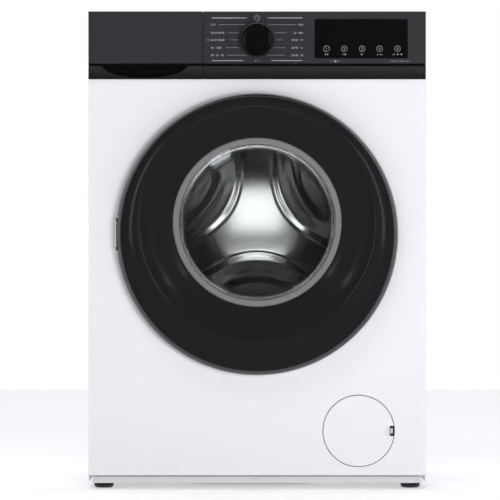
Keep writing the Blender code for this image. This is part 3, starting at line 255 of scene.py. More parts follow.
NOISE, CELLS = "ShaderNodeTexNoise", "ShaderNodeTexVoronoi"
light_plastic = finish_of("light_plastic", (0.60, 0.61, 0.63), 0.45, bump=(NOISE, 900, 0.15, 0.0004))
black_plastic = finish_of("black_plastic", (0.022, 0.022, 0.024), 0.55, shade=0.3,
                          bump=(NOISE, 1100, 0.3, 0.0005))
tub_plastic = finish_of("tub_plastic", (0.43, 0.44, 0.45), 0.62, scale=60, shade=0.25,
                        bump=(NOISE, 500, 0.35, 0.0006))
bright_steel = finish_of("bright_steel", (0.63, 0.63, 0.62), 0.24, 1.0, scale=80, spread=0.15)

repaint(tub_plastic, "base_frame")
strip_low, strip_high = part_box("plinth")
strip = block(strip_low, strip_high, 0.0016, 4)
fitted(strip, "plinth_strip", light_plastic, "cabinet", "light_plastic", "plinth")


def screw_head(radius, height):
    """A pan head standing on Y=0 and facing -Y, with a pressed cross recess."""
    crown = [(0, -height), (radius * 0.45, -height * 0.93), (radius * 0.8, -height * 0.62),
             (radius, -height * 0.12), (radius, 0.0), (0, 0.0)]
    head = turned(crown, (0, 0, 0), 28, angle=40)
    for turn in (45, 135):
        bpy.ops.mesh.primitive_cube_add(size=1, location=(0, -height, 0),
                                        scale=(radius * 1.1, height * 1.1, radius * 0.22),
                                        rotation=(0, math.radians(turn), 0))
        cut(head, bpy.context.active_object)
    return head


def screws(name, radius, height, places, finish, back=False):
    """Screw heads at the given points, all joined in one piece."""
    head = screw_head(radius, height)
    if back:
        head.rotation_euler.z = math.pi
    row = copies(head, places)
    only(row[0])
    for twin in row:
        twin.select_set(True)
    bpy.ops.object.join()
    return fitted(bpy.context.active_object, name, finish, "cabinet", "zinc_sheet")


strip_z = (strip_low.z + strip_high.z) / 2
screws("plinth_screws", 0.0036, 0.0014,
       [(x, strip_low.y + 0.0002, strip_z) for x in (-0.2835, 0.0, 0.2835)], light_plastic)

# ---- levelling feet --------------------------------------------------------------------------
# Each foot is a black pad with grip flutes round its rim, moulded on a zinc plated stud. The stud
# screws up into the base until the machine stands level.
PAD_TOP = 0.0100
STUD_R = 0.0045
THREAD = 0.0006         # depth of the thread, and half its pitch
FLUTE_TURN = 15         # degrees from one grip flute to the next
for place in ("front_left", "front_right", "rear_left", "rear_right"):
    node = f"foot_{place}"
    low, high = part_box(node)
    middle = (low + high) / 2
    rim = (high.x - low.x) / 2
    pad = turned([(0, PAD_TOP), (rim - 0.0030, PAD_TOP), (rim - 0.0010, PAD_TOP - 0.0010),
                  (rim - 0.0006, PAD_TOP - 0.0022), (rim - 0.0006, 0.0030), (rim - 0.0032, 0.0001),
                  (0, 0.0001)], (middle.x, middle.y, 0), 72, "Z")
    only(pad)
    editing(True)
    bpy.ops.mesh.select_all(action="DESELECT")
    editing(False)
    for face in pad.data.polygons:
        side = abs(face.normal.z) < 0.05
        turn = math.degrees(math.atan2(face.center.y, face.center.x)) % FLUTE_TURN
        face.select = side and turn < 0.66 * FLUTE_TURN
    editing(True)
    bpy.ops.mesh.extrude_region_shrink_fatten(TRANSFORM_OT_shrink_fatten={"value": 0.0005})
    editing(False)
    body = next(b for b, nodes in frame["record"]["behaviour"]["bodies"].items() if node in nodes)
    fitted(pad, f"foot_pad_{place}", black_plastic, body, "black_plastic", node)
    thread = [(STUD_R - (THREAD if i % 2 else 0), high.z - THREAD * i) for i in range(52)]
    stud = turned([(0, high.z), *thread, (STUD_R, PAD_TOP), (0, PAD_TOP)], (middle.x, middle.y, 0), 24,
                  "Z")
    fitted(stud, f"foot_stud_{place}", bright_steel, body, "polished_steel")

# ---- cabinet ---------------------------------------------------------------------------------
# The cabinet is folded from thin zinc coated sheet. The front and the sides are enamelled white and
# baked; the rear stays bare zinc. The worktop is a laminated board with a bright aluminium-toned skin.


def edge_group():
    """Shared effect: a mask that is 1 on worn edges and corners and 0 on plain faces."""
    group = bpy.data.node_groups.new("edge_wear", "ShaderNodeTree")
    group.interface.new_socket(name="Reach", in_out="INPUT",
                               socket_type="NodeSocketFloat").default_value = 0.001
    group.interface.new_socket(name="Mask", in_out="OUTPUT", socket_type="NodeSocketFloat")
    nodes, links = group.nodes, group.links
    entry = nodes.new("NodeGroupInput")
    leave = nodes.new("NodeGroupOutput")
    round_over = nodes.new("ShaderNodeBevel")
    round_over.samples = 4
    flat = nodes.new("ShaderNodeNewGeometry")
    agree = nodes.new("ShaderNodeVectorMath")
    agree.operation = "DOT_PRODUCT"
    worn = nodes.new("ShaderNodeMapRange")
    dial(worn, From_Min=0.98, From_Max=0.80)
    links.new(entry.outputs["Reach"], round_over.inputs["Radius"])
    links.new(round_over.outputs["Normal"], agree.inputs[0])
    links.new(flat.outputs["Normal"], agree.inputs[1])
    links.new(agree.outputs["Value"], worn.inputs["Value"])
    links.new(worn.outputs["Result"], leave.inputs["Mask"])
    return group


EDGES = edge_group()


def wear(finish, tint, amount, reach=0.001):
    """Rub the edges of a finish through to a second colour."""
    nodes, links = finish.node_tree.nodes, finish.node_tree.links
    base = nodes["Principled BSDF"].inputs["Base Color"]
    source = base.links[0].from_socket
    mask = nodes.new("ShaderNodeGroup")
    mask.node_tree = EDGES
    dial(mask, Reach=reach)
    share = nodes.new("ShaderNodeMath")
    share.operation = "MULTIPLY"
    share.inputs[1].default_value = amount
    blend = nodes.new("ShaderNodeMix")
    blend.data_type = "RGBA"
    blend.inputs["B"].default_value = (*tint, 1)
    links.new(mask.outputs["Mask"], share.inputs[0])
    links.new(share.outputs[0], blend.inputs["Factor"])
    links.new(source, blend.inputs["A"])
    links.new(blend.outputs["Result"], base)
    return finish


white_enamel = finish_of("white_enamel", (0.76, 0.765, 0.80), 0.30, scale=9, spread=0.05, shade=0.02,
                         bump=(NOISE, 420, 0.05, 0.0004), coat=0.25)
zinc_sheet = finish_of("zinc_sheet", (0.50, 0.51, 0.52), 0.38, 1.0, scale=30, spread=0.2, shade=0.12,
                       bump=(CELLS, 160, 0.06, 0.0003))
worktop_board = finish_of("worktop_board", (0.72, 0.725, 0.74), 0.42, scale=14, spread=0.08, shade=0.03,
                          bump=(NOISE, 700, 0.12, 0.0004))
wear(zinc_sheet, (0.7, 0.7, 0.7), 0.5)
repaint(zinc_sheet, "rear_panel", "rear_service_cover", "crossbar_front")


def faces_where(piece, wanted):
    """Select the faces for which wanted(centre, normal) holds, and open the piece for editing."""
    only(piece)
    editing(True)
    bpy.ops.mesh.select_mode(type="FACE")
    bpy.ops.mesh.select_all(action="DESELECT")
    editing(False)
    for face in piece.data.polygons:
        face.select = bool(wanted(face.center, face.normal))
    editing(True)


def edges_where(piece, wanted):
    """Select the edges for which wanted(one end, other end) holds, and open the piece for editing."""
    only(piece)
    editing(True)
    bpy.ops.mesh.select_mode(type="EDGE")
    bpy.ops.mesh.select_all(action="DESELECT")
    editing(False)
    points = piece.data.vertices
    for edge in piece.data.edges:
        one, other = (points[i].co for i in edge.vertices)
        edge.select = bool(wanted(one, other))
    editing(True)


def gauge(piece, thickness, offset=-1):
    """Give an open sheet its thickness."""
    skin = piece.modifiers.new("gauge", "SOLIDIFY")
    skin.thickness = thickness
    skin.offset = offset
    return piece


def drill(radius, centre, depth, sides=96):
    """A round guide along Y."""
    bpy.ops.mesh.primitive_cylinder_add(vertices=sides, radius=radius, depth=depth, location=centre,
                                        rotation=(math.pi / 2, 0, 0))
    return bpy.context.active_object


def beside(radius, y, points):
    """Profile points given as steps from a radius and from a place along the axis."""
    return [(radius + out, y + back) for out, back in points]


SHEET = 0.001           # the sheet's thickness
CORNER = 0.012          # radius of the upright front corners
front_low, front_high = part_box("front_panel")
pane_low, pane_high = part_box("door_glass")
flap_low, flap_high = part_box("filter_flap")
eye = Vector((0, 0, (pane_low.z + pane_high.z) / 2))
panel_y = front_low.y + 0.0006
front = block((front_low.x, panel_y, front_low.z), (front_high.x, front_high.y, front_high.z))
edges_where(front, lambda a, b: a.y < panel_y + 0.001 and b.y < panel_y + 0.001
            and abs(a.x - b.x) < 0.001 and abs(a.z - b.z) > 0.1)
bpy.ops.mesh.bevel(offset=CORNER, segments=12)
editing(False)
faces_where(front, lambda c, n: n.y > 0.9 or abs(n.z) > 0.9)
bpy.ops.mesh.delete(type="FACE")
editing(False)
smooth(35)
gauge(front, SHEET)
only(front)
bpy.ops.object.modifier_apply(modifier="gauge")
porthole = 0.1765       # radius of the hole behind the door
cut(front, drill(porthole, (0, panel_y, eye.z), 0.02, 160))
flap_r = (flap_high.z - flap_low.z) / 2
flap_hole = flap_r + 0.001
flap_mid = Vector((flap_low.x + flap_r, flap_low.y, (flap_low.z + flap_high.z) / 2))
cut(front, drill(flap_hole, (flap_mid.x, panel_y, flap_mid.z), 0.02, 128))
hook_low, hook_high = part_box("latch_hook")
hook = (hook_low + hook_high) / 2
cut(front, block((hook.x - 0.013, panel_y - 0.01, hook.z - 0.018),
                 (hook.x + 0.013, panel_y + 0.01, hook.z + 0.018)))
soften(front, 0.0004, 2, 60)
fitted(front, "front_sheet", white_enamel, "cabinet", "white_enamel", "front_panel")

collar_way = beside(porthole, panel_y, [
    (0.0020, -0.0006), (0.0030, -0.0002), (0.0030, 0.0008), (-0.0010, 0.0030), (-0.0030, 0.0155),
    (-0.0065, 0.0160), (-0.0066, 0.0150), (-0.0045, 0.0143), (-0.0022, 0.0030), (-0.0005, 0.0002),
    (0.0006, -0.0005), (0.0020, -0.0006)])
collar = turned(collar_way, (0, 0, eye.z), 160)
fitted(collar, "porthole_collar", white_enamel, "cabinet", "white_enamel")

for side, word in ((-1, "left"), (1, "right")):
    low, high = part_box(f"{word}_side_panel")
    x = side * cad_box[1].x
    sheet = block((x - side * 0.016, low.y, low.z), (x, high.y, high.z))
    faces_where(sheet, lambda c, n: n.x * side < -0.9 or abs(n.z) > 0.9 or n.y < -0.9)
    bpy.ops.mesh.delete(type="FACE")
    editing(False)
    faces_where(sheet, lambda c, n: abs(n.x) > 0.9)
    for margin, rise in ((0.050, 0), (0.014, -0.0035), (0.060, 0), (0.012, 0.0025)):
        bpy.ops.mesh.inset(thickness=margin, depth=rise)
    editing(False)
    smooth(35)
    swage = sheet.modifiers.new("swage", "BEVEL")
    swage.width = 0.004
    swage.segments = 4
    swage.angle_limit = math.radians(5)
    gauge(sheet, SHEET)
    fitted(sheet, f"{word}_side_sheet", white_enamel, "cabinet", "white_enamel", f"{word}_side_panel")

top_low, top_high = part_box("worktop")
board = block(top_low, top_high, 0.0022, 4)
fitted(board, "worktop_board", worktop_board, "cabinet", "worktop_board", "worktop")

# ---- tub, suspension, motor and pump ---------------------------------------------------------
# The tub is two moulded halves that hang in the cabinet on two springs over two dampers, weighted
# with cast concrete. Motor, belt, heater and bearings are fixed to it; the pump stands on the base.
stainless = finish_of("stainless", (0.60, 0.60, 0.60), 0.15, 1.0, scale=40, spread=0.03, shade=0.05,
                      bump=(NOISE, 260, 0.02, 0.0004))
cast_aluminium = finish_of("cast_aluminium", (0.62, 0.62, 0.63), 0.48, 1.0, scale=90, spread=0.2,
                           bump=(NOISE, 380, 0.4, 0.0006))
grey_rubber = finish_of("grey_rubber", (0.20, 0.20, 0.21), 0.68, scale=40, shade=0.1,
                        bump=(NOISE, 900, 0.2, 0.0004))
concrete = finish_of("concrete", (0.40, 0.39, 0.37), 0.9, scale=45, spread=0.05, shade=0.6,
                     bump=(NOISE, 240, 0.7, 0.0012))
circuit_board = finish_of("circuit_board", (0.015, 0.12, 0.05), 0.42, scale=220, shade=1.2,
                          bump=(CELLS, 500, 0.3, 0.0005))
repaint(tub_plastic, "tub_front_half", "tub_rear_half")
repaint(concrete, "counterweight_front", "counterweight_top")
repaint(bright_steel, "heater", "bearing_front", "bearing_rear", "motor_pulley", "spring_left",
        "spring_right", "damper_rod_left", "damper_rod_right")
repaint(cast_aluminium, "drum_pulley", "drum_spider", "motor_stator")
repaint(grey_rubber, "drive_belt", "sump_hose", "dispenser_hose")
repaint(black_plastic, "pump_housing", "damper_cylinder_left", "damper_cylinder_right", "drain_hose",
        "inlet_hose", "pump_filter", "door_inner_ring", "door_lock", "mains_filter", "inlet_valve")
repaint(circuit_board, "control_board")
repaint(stainless, "drum_shell")
repaint(light_plastic, "drawer_tray", "dispenser_box")
repaint(bright_steel, "hinge_arm", "hinge_bracket", "latch_hook")

# ---- drum ------------------------------------------------------------------------------------
# The drum is rolled and pressed from thin stainless sheet. Three blisters are pressed into its back
# and leave a Y that lies on the spider's arms. Plastic lifters clip to the rolled shell.


def eased(value, start, stop):
    """A smooth rise from 0 at the start to 1 at the stop."""
    share = min(max((value - start) / (stop - start), 0), 1)
    return share * share * (3 - 2 * share)


def flowing(points, parts):
    """Points on a smooth curve through the given ones, with parts spans between two of them."""
    knots = [Vector(point) for point in points]
    ways = [(b - a).normalized() for a, b in zip(knots, knots[1:])]
    bends = [ways[0], *[(a + b) / 2 for a, b in zip(ways, ways[1:])], ways[-1]]
    line = []
    for here, there, leave, reach in zip(knots, knots[1:], bends, bends[1:]):
        span = (there - here).length
        for i in range(parts):
            t = i / parts
            ease = t * t * (3 - 2 * t)
            line.append(tuple(here * (1 - ease) + there * ease
                              + span * t * (1 - t) * (leave * (1 - t) - reach * t)))
    return [*line, tuple(knots[-1])]


ARM_HALF = 0.0255       # half the width of an arm
ARM_ANGLES = (90, 210, 330)
FILLET = 0.069          # where two arms meet
BEAD = 0.0006           # height of one step of the bead along an arm's edge
BEAD_EDGES = ((0.0060, 0.0080, 1), (0.0098, 0.0118, 1), (0.0, 0.0030, -1))
FALLS = ((0.014, 0.032, 0.0016), (0.036, 0.056, 0.0024))    # start, stop and depth of each slope


def blister(x, z):
    """How far a point of the drum's back is pressed forward."""
    if math.hypot(x, z) < 1e-6:
        return 0.0
    arms = []
    for angle in ARM_ANGLES:
        way = Vector((math.cos(math.radians(angle)), math.sin(math.radians(angle))))
        arms.append((x * way.x + z * way.y, abs(x * way.y - z * way.x) - ARM_HALF))
    (_, one), (_, other) = sorted(arms, reverse=True)[:2]
    share = max(FILLET - abs(one - other), 0) / FILLET
    depth = min(one, other) - share * share * FILLET / 4
    press = BEAD * sum(sign * eased(depth, start, stop) for start, stop, sign in BEAD_EDGES)
    return press - sum(fall * eased(depth, start, stop) for start, stop, fall in FALLS)


DOME = 1.0              # radius of the crown that the middle of the back is pressed to
DOME_R = 0.170          # where the crown begins
back_low, back_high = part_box("drum_back")
back_r = (back_high.x - back_low.x) / 2
RINGS = 128
crown = [(back_r * i / RINGS, back_low.y) for i in range(RINGS + 1)]
rear = turned(crown, (0, 0, eye.z), 240, angle=180)
for point in rear.data.vertices:
    at = rear.matrix_world @ point.co
    x, z = at.x, at.z - eye.z
    radius = math.hypot(x, z)
    press = blister(x, z) * (1 - eased(radius, 0.196, 0.222))
    point.co.y -= press + max(DOME_R ** 2 - radius ** 2, 0) / (2 * DOME)
gauge(rear, 0.0009, 1)
fitted(rear, "drum_rear_sheet", stainless, "drum", "stainless", "drum_back")

LIFTERS = (("paddle_1", 120, 0.128), ("paddle_2", 240, 0.155), ("paddle_3", 0, 0.155))
LIFTER_FOOT = 0.2305    # distance of the lifters' feet from the axis
for number, (node, angle, tip) in enumerate(LIFTERS, 1):
    low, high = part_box(node)
    lift = block((-0.038, low.y, tip), (0.038, high.y, LIFTER_FOOT))
    only(lift)
    bpy.ops.object.transform_apply(location=True, rotation=True, scale=True)
    for height in (LIFTER_FOOT - 0.020, tip + 0.006):
        faces_where(lift, lambda c, n: True)
        bpy.ops.mesh.bisect(plane_co=(0, 0, height), plane_no=(0, 0, 1))
        editing(False)
    levels = ((LIFTER_FOOT - 0.001, 0.038), (LIFTER_FOOT - 0.021, 0.030), (tip + 0.001, 0.0225),
              (0, 0.0165))
    for point in lift.data.vertices:
        half = next(width for floor, width in levels if point.co.z > floor)
        point.co.x = math.copysign(half, point.co.x)
        if point.co.z < tip + 0.001:
            point.co.y += math.copysign(0.006, (low.y + high.y) / 2 - point.co.y)
    only(lift)
    smooth(35)
    soften(lift, 0.0022, 4, 12)
    lift.rotation_euler = (0, math.radians(90 - angle), 0)
    lift.location = (0, 0, eye.z)
    fitted(lift, f"lifter_{number}", light_plastic, "drum", "light_plastic", node)

# ---- door seal -------------------------------------------------------------------------------
# A moulded grey rubber bellows joins the porthole to the tub's mouth. Its front bead grips the
# porthole's collar, and its soft lip closes on the glass.
lip_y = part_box("door_gasket")[0].y
seal_path = flowing(beside(0, lip_y, [
    (0.1395, 0.0030), (0.1390, 0.0020), (0.1398, 0.0014), (0.1480, 0.0008), (0.1600, 0), (0.1676, 0.0010),
    (0.1686, 0.0035), (0.1684, 0.0140), (0.1650, 0.0180), (0.1626, 0.0225), (0.1625, 0.0300)]), 4)
seal_back = flowing(beside(0, lip_y, [
    (0.1600, 0.0300), (0.1602, 0.0220), (0.1640, 0.0160), (0.1656, 0.0120), (0.1654, 0.0050),
    (0.1610, 0.0034), (0.1480, 0.0038), (0.1400, 0.0036), (0.1395, 0.0030)]), 4)
seal = turned([*seal_path, *seal_back], (0, 0, eye.z), 128)
fitted(seal, "door_seal", grey_rubber, "cabinet", "grey_rubber", "door_gasket")

# ---- door ------------------------------------------------------------------------------------
# The door is a glossy black moulded ring whose dish runs down to the window. A satin grey trim clips
# over the flange of a shallow bowl of pressed glass, and a black inner frame closes the back.
gloss_black = finish_of("gloss_black", (0.0125, 0.0128, 0.0132), 0.13, scale=12, spread=0.05, shade=0.2,
                        bump=(NOISE, 26, 0.02, 0.001), coat=0.5)
trim_grey = finish_of("trim_grey", (0.175, 0.176, 0.180), 0.40, scale=30, spread=0.05, shade=0.04,
                      bump=(NOISE, 900, 0.08, 0.0003))
ring_low, ring_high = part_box("door_ring")
rim = (ring_high.x - ring_low.x) / 2
rim_z = (ring_low.z + ring_high.z) / 2
face_y, lap_y = ring_low.y, ring_high.y


def lofted(stations, sides):
    """Rings of (height of centre, radius, place along Y), each extruded from the one before."""
    z, radius, y = stations[0]
    bpy.ops.mesh.primitive_circle_add(vertices=sides, radius=radius, location=(0, y, z),
                                      rotation=(math.pi / 2, 0, 0))
    piece = bpy.context.active_object
    editing(True)
    bpy.ops.mesh.select_mode(type="VERT")
    bpy.ops.mesh.select_all(action="SELECT")
    for (z0, r0, y0), (z1, r1, y1) in zip(stations, stations[1:]):
        bpy.ops.mesh.extrude_region_move(TRANSFORM_OT_translate={"value": (0, y1 - y0, z1 - z0)})
        bpy.ops.transform.resize(value=(r1 / r0, 1, r1 / r0), center_override=(0, y1, z1))
    bpy.ops.mesh.select_all(action="SELECT")
    bpy.ops.mesh.remove_doubles(threshold=0.000005)
    bpy.ops.mesh.normals_make_consistent(inside=False)
    editing(False)
    smooth(30)
    return piece


window = 0.150          # radius of the dish's inner edge
dish = 0.205            # radius of its crease
front_way = flowing([(eye.z, window, -0.2590), (eye.z, window, -0.2612), (eye.z, window + 0.0009, -0.2625),
                     (eye.z, window + 0.0040, -0.2636), (eye.z, window + 0.0100, -0.2653),
                     (eye.z, 0.182, -0.2722), (eye.z, dish - 0.0022, -0.2790),
                     (eye.z - 0.0003, dish - 0.0004, -0.2803),
                     (eye.z - 0.0010, dish + 0.0022, face_y + 0.0008),
                     (eye.z - 0.0030, dish + 0.0065, face_y + 0.0001),
                     (eye.z - 0.0060, dish + 0.012, face_y),
                     (rim_z + 0.0095, rim - 0.0225, face_y + 0.0010),
                     (rim_z + 0.0060, rim - 0.0140, face_y + 0.0035),
                     (rim_z + 0.0040, rim - 0.0085, face_y + 0.0068),
                     (rim_z + 0.0020, rim - 0.0042, face_y + 0.0115),
                     (rim_z + 0.0006, rim - 0.0012, face_y + 0.0170), (rim_z, rim, face_y + 0.0225),
                     (rim_z, rim, lap_y)], 4)
back_way = flowing([(rim_z, rim - 0.003, lap_y), (rim_z, rim - 0.003, -0.2600),
                    (rim_z + 0.002, rim - 0.008, -0.2690), (rim_z + 0.006, rim - 0.017, -0.2758),
                    (eye.z - 0.006, dish + 0.012, face_y + 0.003),
                    (eye.z - 0.001, dish + 0.004, face_y + 0.0037), (eye.z, dish, -0.2760),
                    (eye.z, window + 0.012, -0.2625), (eye.z, window + 0.006, -0.2590),
                    (eye.z, window, -0.2590)], 2)
ring = lofted([*front_way, *back_way], 224)
hinge_x, hinge_y = -0.246, -0.262
pocket = block((-rim - 0.01, hinge_y - 0.0055, rim_z - 0.032),
               (hinge_x + 0.012, lap_y + 0.02, rim_z + 0.032), 0.0015, 2)
cut(ring, pocket)
grip = block((rim - 0.030, -0.2620, rim_z - 0.045), (rim + 0.02, lap_y + 0.02, rim_z + 0.045), 0.004, 4)
cut(ring, grip)
fitted(ring, "door_moulding", gloss_black, "door", "black_gloss", "door_ring")

trim_way = flowing([(0.1380, -0.2586), (0.1380, -0.2604), (0.1388, -0.2614), (0.1435, -0.2618),
                    (0.1482, -0.2614), (0.1490, -0.2604), (0.1490, -0.2586)], 4)
trim = turned([*trim_way, trim_way[0]], (0, 0, eye.z), 192)
fitted(trim, "window_trim", trim_grey, "door", "grey_rubber")


def glass_of(name, tint):
    """Clear glass that lets the daylight through to what lies behind it."""
    glass = bpy.data.materials.new(name)
    glass.use_nodes = True
    nodes, links = glass.node_tree.nodes, glass.node_tree.links
    shader = nodes["Principled BSDF"]
    dial(shader, Base_Color=(*tint, 1), Roughness=0.0, Transmission_Weight=1.0, IOR=1.06)
    place = nodes.new("ShaderNodeTexCoord")
    ripple = nodes.new("ShaderNodeTexNoise")
    dial(ripple, Scale=9)
    raised = nodes.new("ShaderNodeBump")
    dial(raised, Strength=0.008, Distance=0.0005)
    links.new(place.outputs["Object"], ripple.inputs["Vector"])
    links.new(ripple.outputs["Fac"], raised.inputs["Height"])
    links.new(raised.outputs["Normal"], shader.inputs["Normal"])
    through = nodes.new("ShaderNodeBsdfTransparent")
    dial(through, Color=(*tint, 1))
    ray = nodes.new("ShaderNodeLightPath")
    either = nodes.new("ShaderNodeMixShader")
    links.new(ray.outputs["Is Shadow Ray"], either.inputs["Fac"])
    links.new(shader.outputs["BSDF"], either.inputs[1])
    links.new(through.outputs["BSDF"], either.inputs[2])
    links.new(either.outputs["Shader"], nodes["Material Output"].inputs["Surface"])
    return glass


window_glass = glass_of("window_glass", (0.93, 0.945, 0.95))
tip_y = pane_high.y
bowl_back = flowing([*beside(0, tip_y, [(0, 0), (0.060, -0.0001), (0.118, -0.0005), (0.1290, -0.0018),
                                        (0.1336, -0.0045), (0.1356, -0.0088), (0.1364, -0.0140),
                                        (0.1384, -0.0430)]),
                     (0.1405, -0.2515), (0.1440, -0.2542), (0.1480, -0.2545), (0.1540, -0.2545)], 5)
bowl_front = flowing([(0.1540, -0.2578), (0.1480, -0.2579), (0.1440, -0.2573), (0.1385, -0.2545),
                      (0.1358, -0.2490),
                      *beside(0, tip_y, [(0.1342, -0.0370), (0.1324, -0.0145), (0.1315, -0.0100),
                                         (0.1292, -0.0068), (0.1245, -0.0050), (0.1150, -0.0044),
                                         (0.060, -0.0041), (0, -0.0040)])], 5)
bowl = turned([*bowl_back, *bowl_front], (0, 0, eye.z), 192, angle=50)
fitted(bowl, "window_bowl", window_glass, "door", "window_glass", "door_glass")

# ---- pump filter flap ------------------------------------------------------------------------
# A round white flap covers the pump filter. It is moulded with a rounded edge and a finger notch
# that shows a light tab of the filter's frame.
flap_y = flap_low.y
edge_way = [(-0.004, 0), (-0.0012, 0.0002), (-0.0002, 0.0009), (0, 0.0025)]
lap_way = [(-0.0016, 0.0025), (-0.0020, 0.0016)]
disc = turned([*flowing([(0, flap_y), *beside(flap_r, flap_y, edge_way)], 3),
               *beside(flap_r, flap_y, lap_way), (0, flap_y + 0.0016)], (flap_mid.x, 0, flap_mid.z), 128)
cut(disc, block((flap_mid.x + flap_r - 0.008, flap_y - 0.01, flap_mid.z - 0.009),
                (flap_mid.x + flap_r + 0.01, flap_y + 0.01, flap_mid.z + 0.009), 0.002, 4))
fitted(disc, "flap_moulding", white_enamel, "flap", "white_enamel", "filter_flap")
seat_way = [(-0.010, 0.0031), (0.006, 0.0031), (0.006, 0.0045), (-0.008, 0.0045), (-0.008, 0.0120),
            (-0.010, 0.0120), (-0.010, 0.0031)]
seat = turned(beside(flap_r, flap_y, seat_way), (flap_mid.x, 0, flap_mid.z), 128)
cut(seat, block((flap_mid.x - flap_r - 0.02, flap_y, flap_mid.z - 0.036),
                (flap_mid.x - flap_r + 0.009, flap_y + 0.02, flap_mid.z + 0.036)))
fitted(seat, "flap_seat", black_plastic, "cabinet", "black_plastic")
tab = block((flap_mid.x + flap_r - 0.0068, flap_y + 0.0010, flap_mid.z - 0.0045),
            (flap_mid.x + flap_r - 0.0025, flap_y + 0.0030, flap_mid.z + 0.0045), 0.0008, 3)
fitted(tab, "flap_tab", light_plastic, "cabinet", "light_plastic")

# ---- detergent drawer and console ------------------------------------------------------------
# Console and drawer front are two lengths of one charcoal moulding. A long groove parts the face
# from a lower band, and a finger scoop is sunk under it on the drawer.
charcoal = finish_of("charcoal_plastic", (0.0275, 0.0285, 0.0325), 0.34, scale=25, spread=0.06, shade=0.08,
                     bump=(NOISE, 1300, 0.12, 0.0003))
fascia_low, fascia_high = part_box("console_fascia")
drawer_low, drawer_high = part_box("drawer_front")
show_low, show_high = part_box("display_window")
knob_low, knob_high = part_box("programme_knob")
knob = (knob_low + knob_high) / 2
console_y = fascia_low.y
groove_low, groove_high = 0.748, 0.753
scoop_x = -0.199


def shaded_down(finish, low, high, floor):
    """Paint shade into a finish: darken it evenly from one height down to another."""
    nodes, links = finish.node_tree.nodes, finish.node_tree.links
    base = nodes["Principled BSDF"].inputs["Base Color"]
    source = base.links[0].from_socket
    place = nodes.new("ShaderNodeTexCoord")
    axes = nodes.new("ShaderNodeSeparateXYZ")
    fall = nodes.new("ShaderNodeMapRange")
    dial(fall, From_Min=low, From_Max=high, To_Min=floor)
    tint = nodes.new("ShaderNodeVectorMath")
    tint.operation = "SCALE"
    links.new(place.outputs["Object"], axes.inputs[0])
    links.new(axes.outputs["Z"], fall.inputs["Value"])
    links.new(source, tint.inputs[0])
    links.new(fall.outputs["Result"], tint.inputs["Scale"])
    links.new(tint.outputs[0], base)


# Painted shade: the charcoal darkens from the groove down to the console's foot, standing in for the shade
# on the lower band.
shaded_down(charcoal, fascia_low.z, groove_high + 0.001, 0.22)
piano_black = finish_of("piano_black", (0.0035, 0.0035, 0.0038), 0.07, scale=12, spread=0.03, shade=0.3,
                        bump=(NOISE, 20, 0.01, 0.0006), coat=0.5)


def console_length(low, high, side):
    """A length of the console with its rounded outer end, its groove and its hollow back."""
    shell = block(low, high)
    end = high.x if side > 0 else low.x
    edges_where(shell, lambda a, b: abs(a.x - end) < 1e-5 and abs(b.x - end) < 1e-5
                and a.y < low.y + 1e-5 and b.y < low.y + 1e-5)
    bpy.ops.mesh.bevel(offset=CORNER, segments=12)
    editing(False)
    edges_where(shell, lambda a, b: min(a.z, b.z) > high.z - 1e-5 and min(a.y, b.y) < high.y - 1e-5)
    bpy.ops.mesh.bevel(offset=0.0030, segments=4)
    editing(False)
    cut(shell, block((low.x - 0.01, low.y - 0.01, groove_low),
                     (high.x + 0.01, low.y + 0.0022, groove_high)))
    wall = 0.0025
    inner = (low.x + (wall if side > 0 else wall + 0.006), high.x - (wall if side < 0 else wall + 0.006))
    floor_z = low.z + wall if side > 0 else groove_high + wall
    cut(shell, block((inner[0], low.y + 0.0048, floor_z), (inner[1], high.y + 0.01, high.z - wall)))
    return shell


fascia = console_length(fascia_low, fascia_high, 1)
cut(fascia, block((show_low.x - 0.0004, console_y - 0.01, show_low.z - 0.0004),
                  (show_high.x + 0.0004, console_y + 0.01, show_high.z + 0.0004), 0.0006, 2))
cut(fascia, drill(0.0045, (knob.x, console_y, knob.z), 0.03, 32))
soften(fascia, 0.0005, 2, 50)
# Painted shade: a thin gloss black strip in the groove's bottom stands in for the shade inside the groove.
strip = block((fascia_low.x + 0.0005, console_y + 0.0012, groove_low),
              (fascia_high.x - 0.0008, console_y + 0.0022, groove_high), 0.0003, 2)
fitted(strip, "console_groove_painted_shade", piano_black, "cabinet", "black_gloss")
fitted(fascia, "console_moulding", charcoal, "cabinet", "charcoal_plastic", "console_fascia")

front_of_drawer = console_length(drawer_low, drawer_high, -1)
bpy.ops.mesh.primitive_uv_sphere_add(segments=96, ring_count=48, radius=1,
                                     location=(scoop_x, console_y - 0.001, groove_low + 0.0022),
                                     scale=(0.076, 0.013, 0.0228))
scoop = bpy.context.active_object
bpy.ops.object.transform_apply(location=True, rotation=True, scale=True)
editing(True)
bpy.ops.mesh.select_all(action="SELECT")
bpy.ops.mesh.bisect(plane_co=(0, 0, groove_low + 0.002), plane_no=(0, 0, 1), use_fill=True,
                    clear_outer=True)
editing(False)
# Painted shade: a thin gloss black liner is laid in the scoop's hollow. Its black stands in for the shade
# in the recess, and its gloss catches the lamps.
scoop_shade_liner = copies(scoop.copy(), [(0, 0, 0)])[0]
cut(front_of_drawer, scoop)
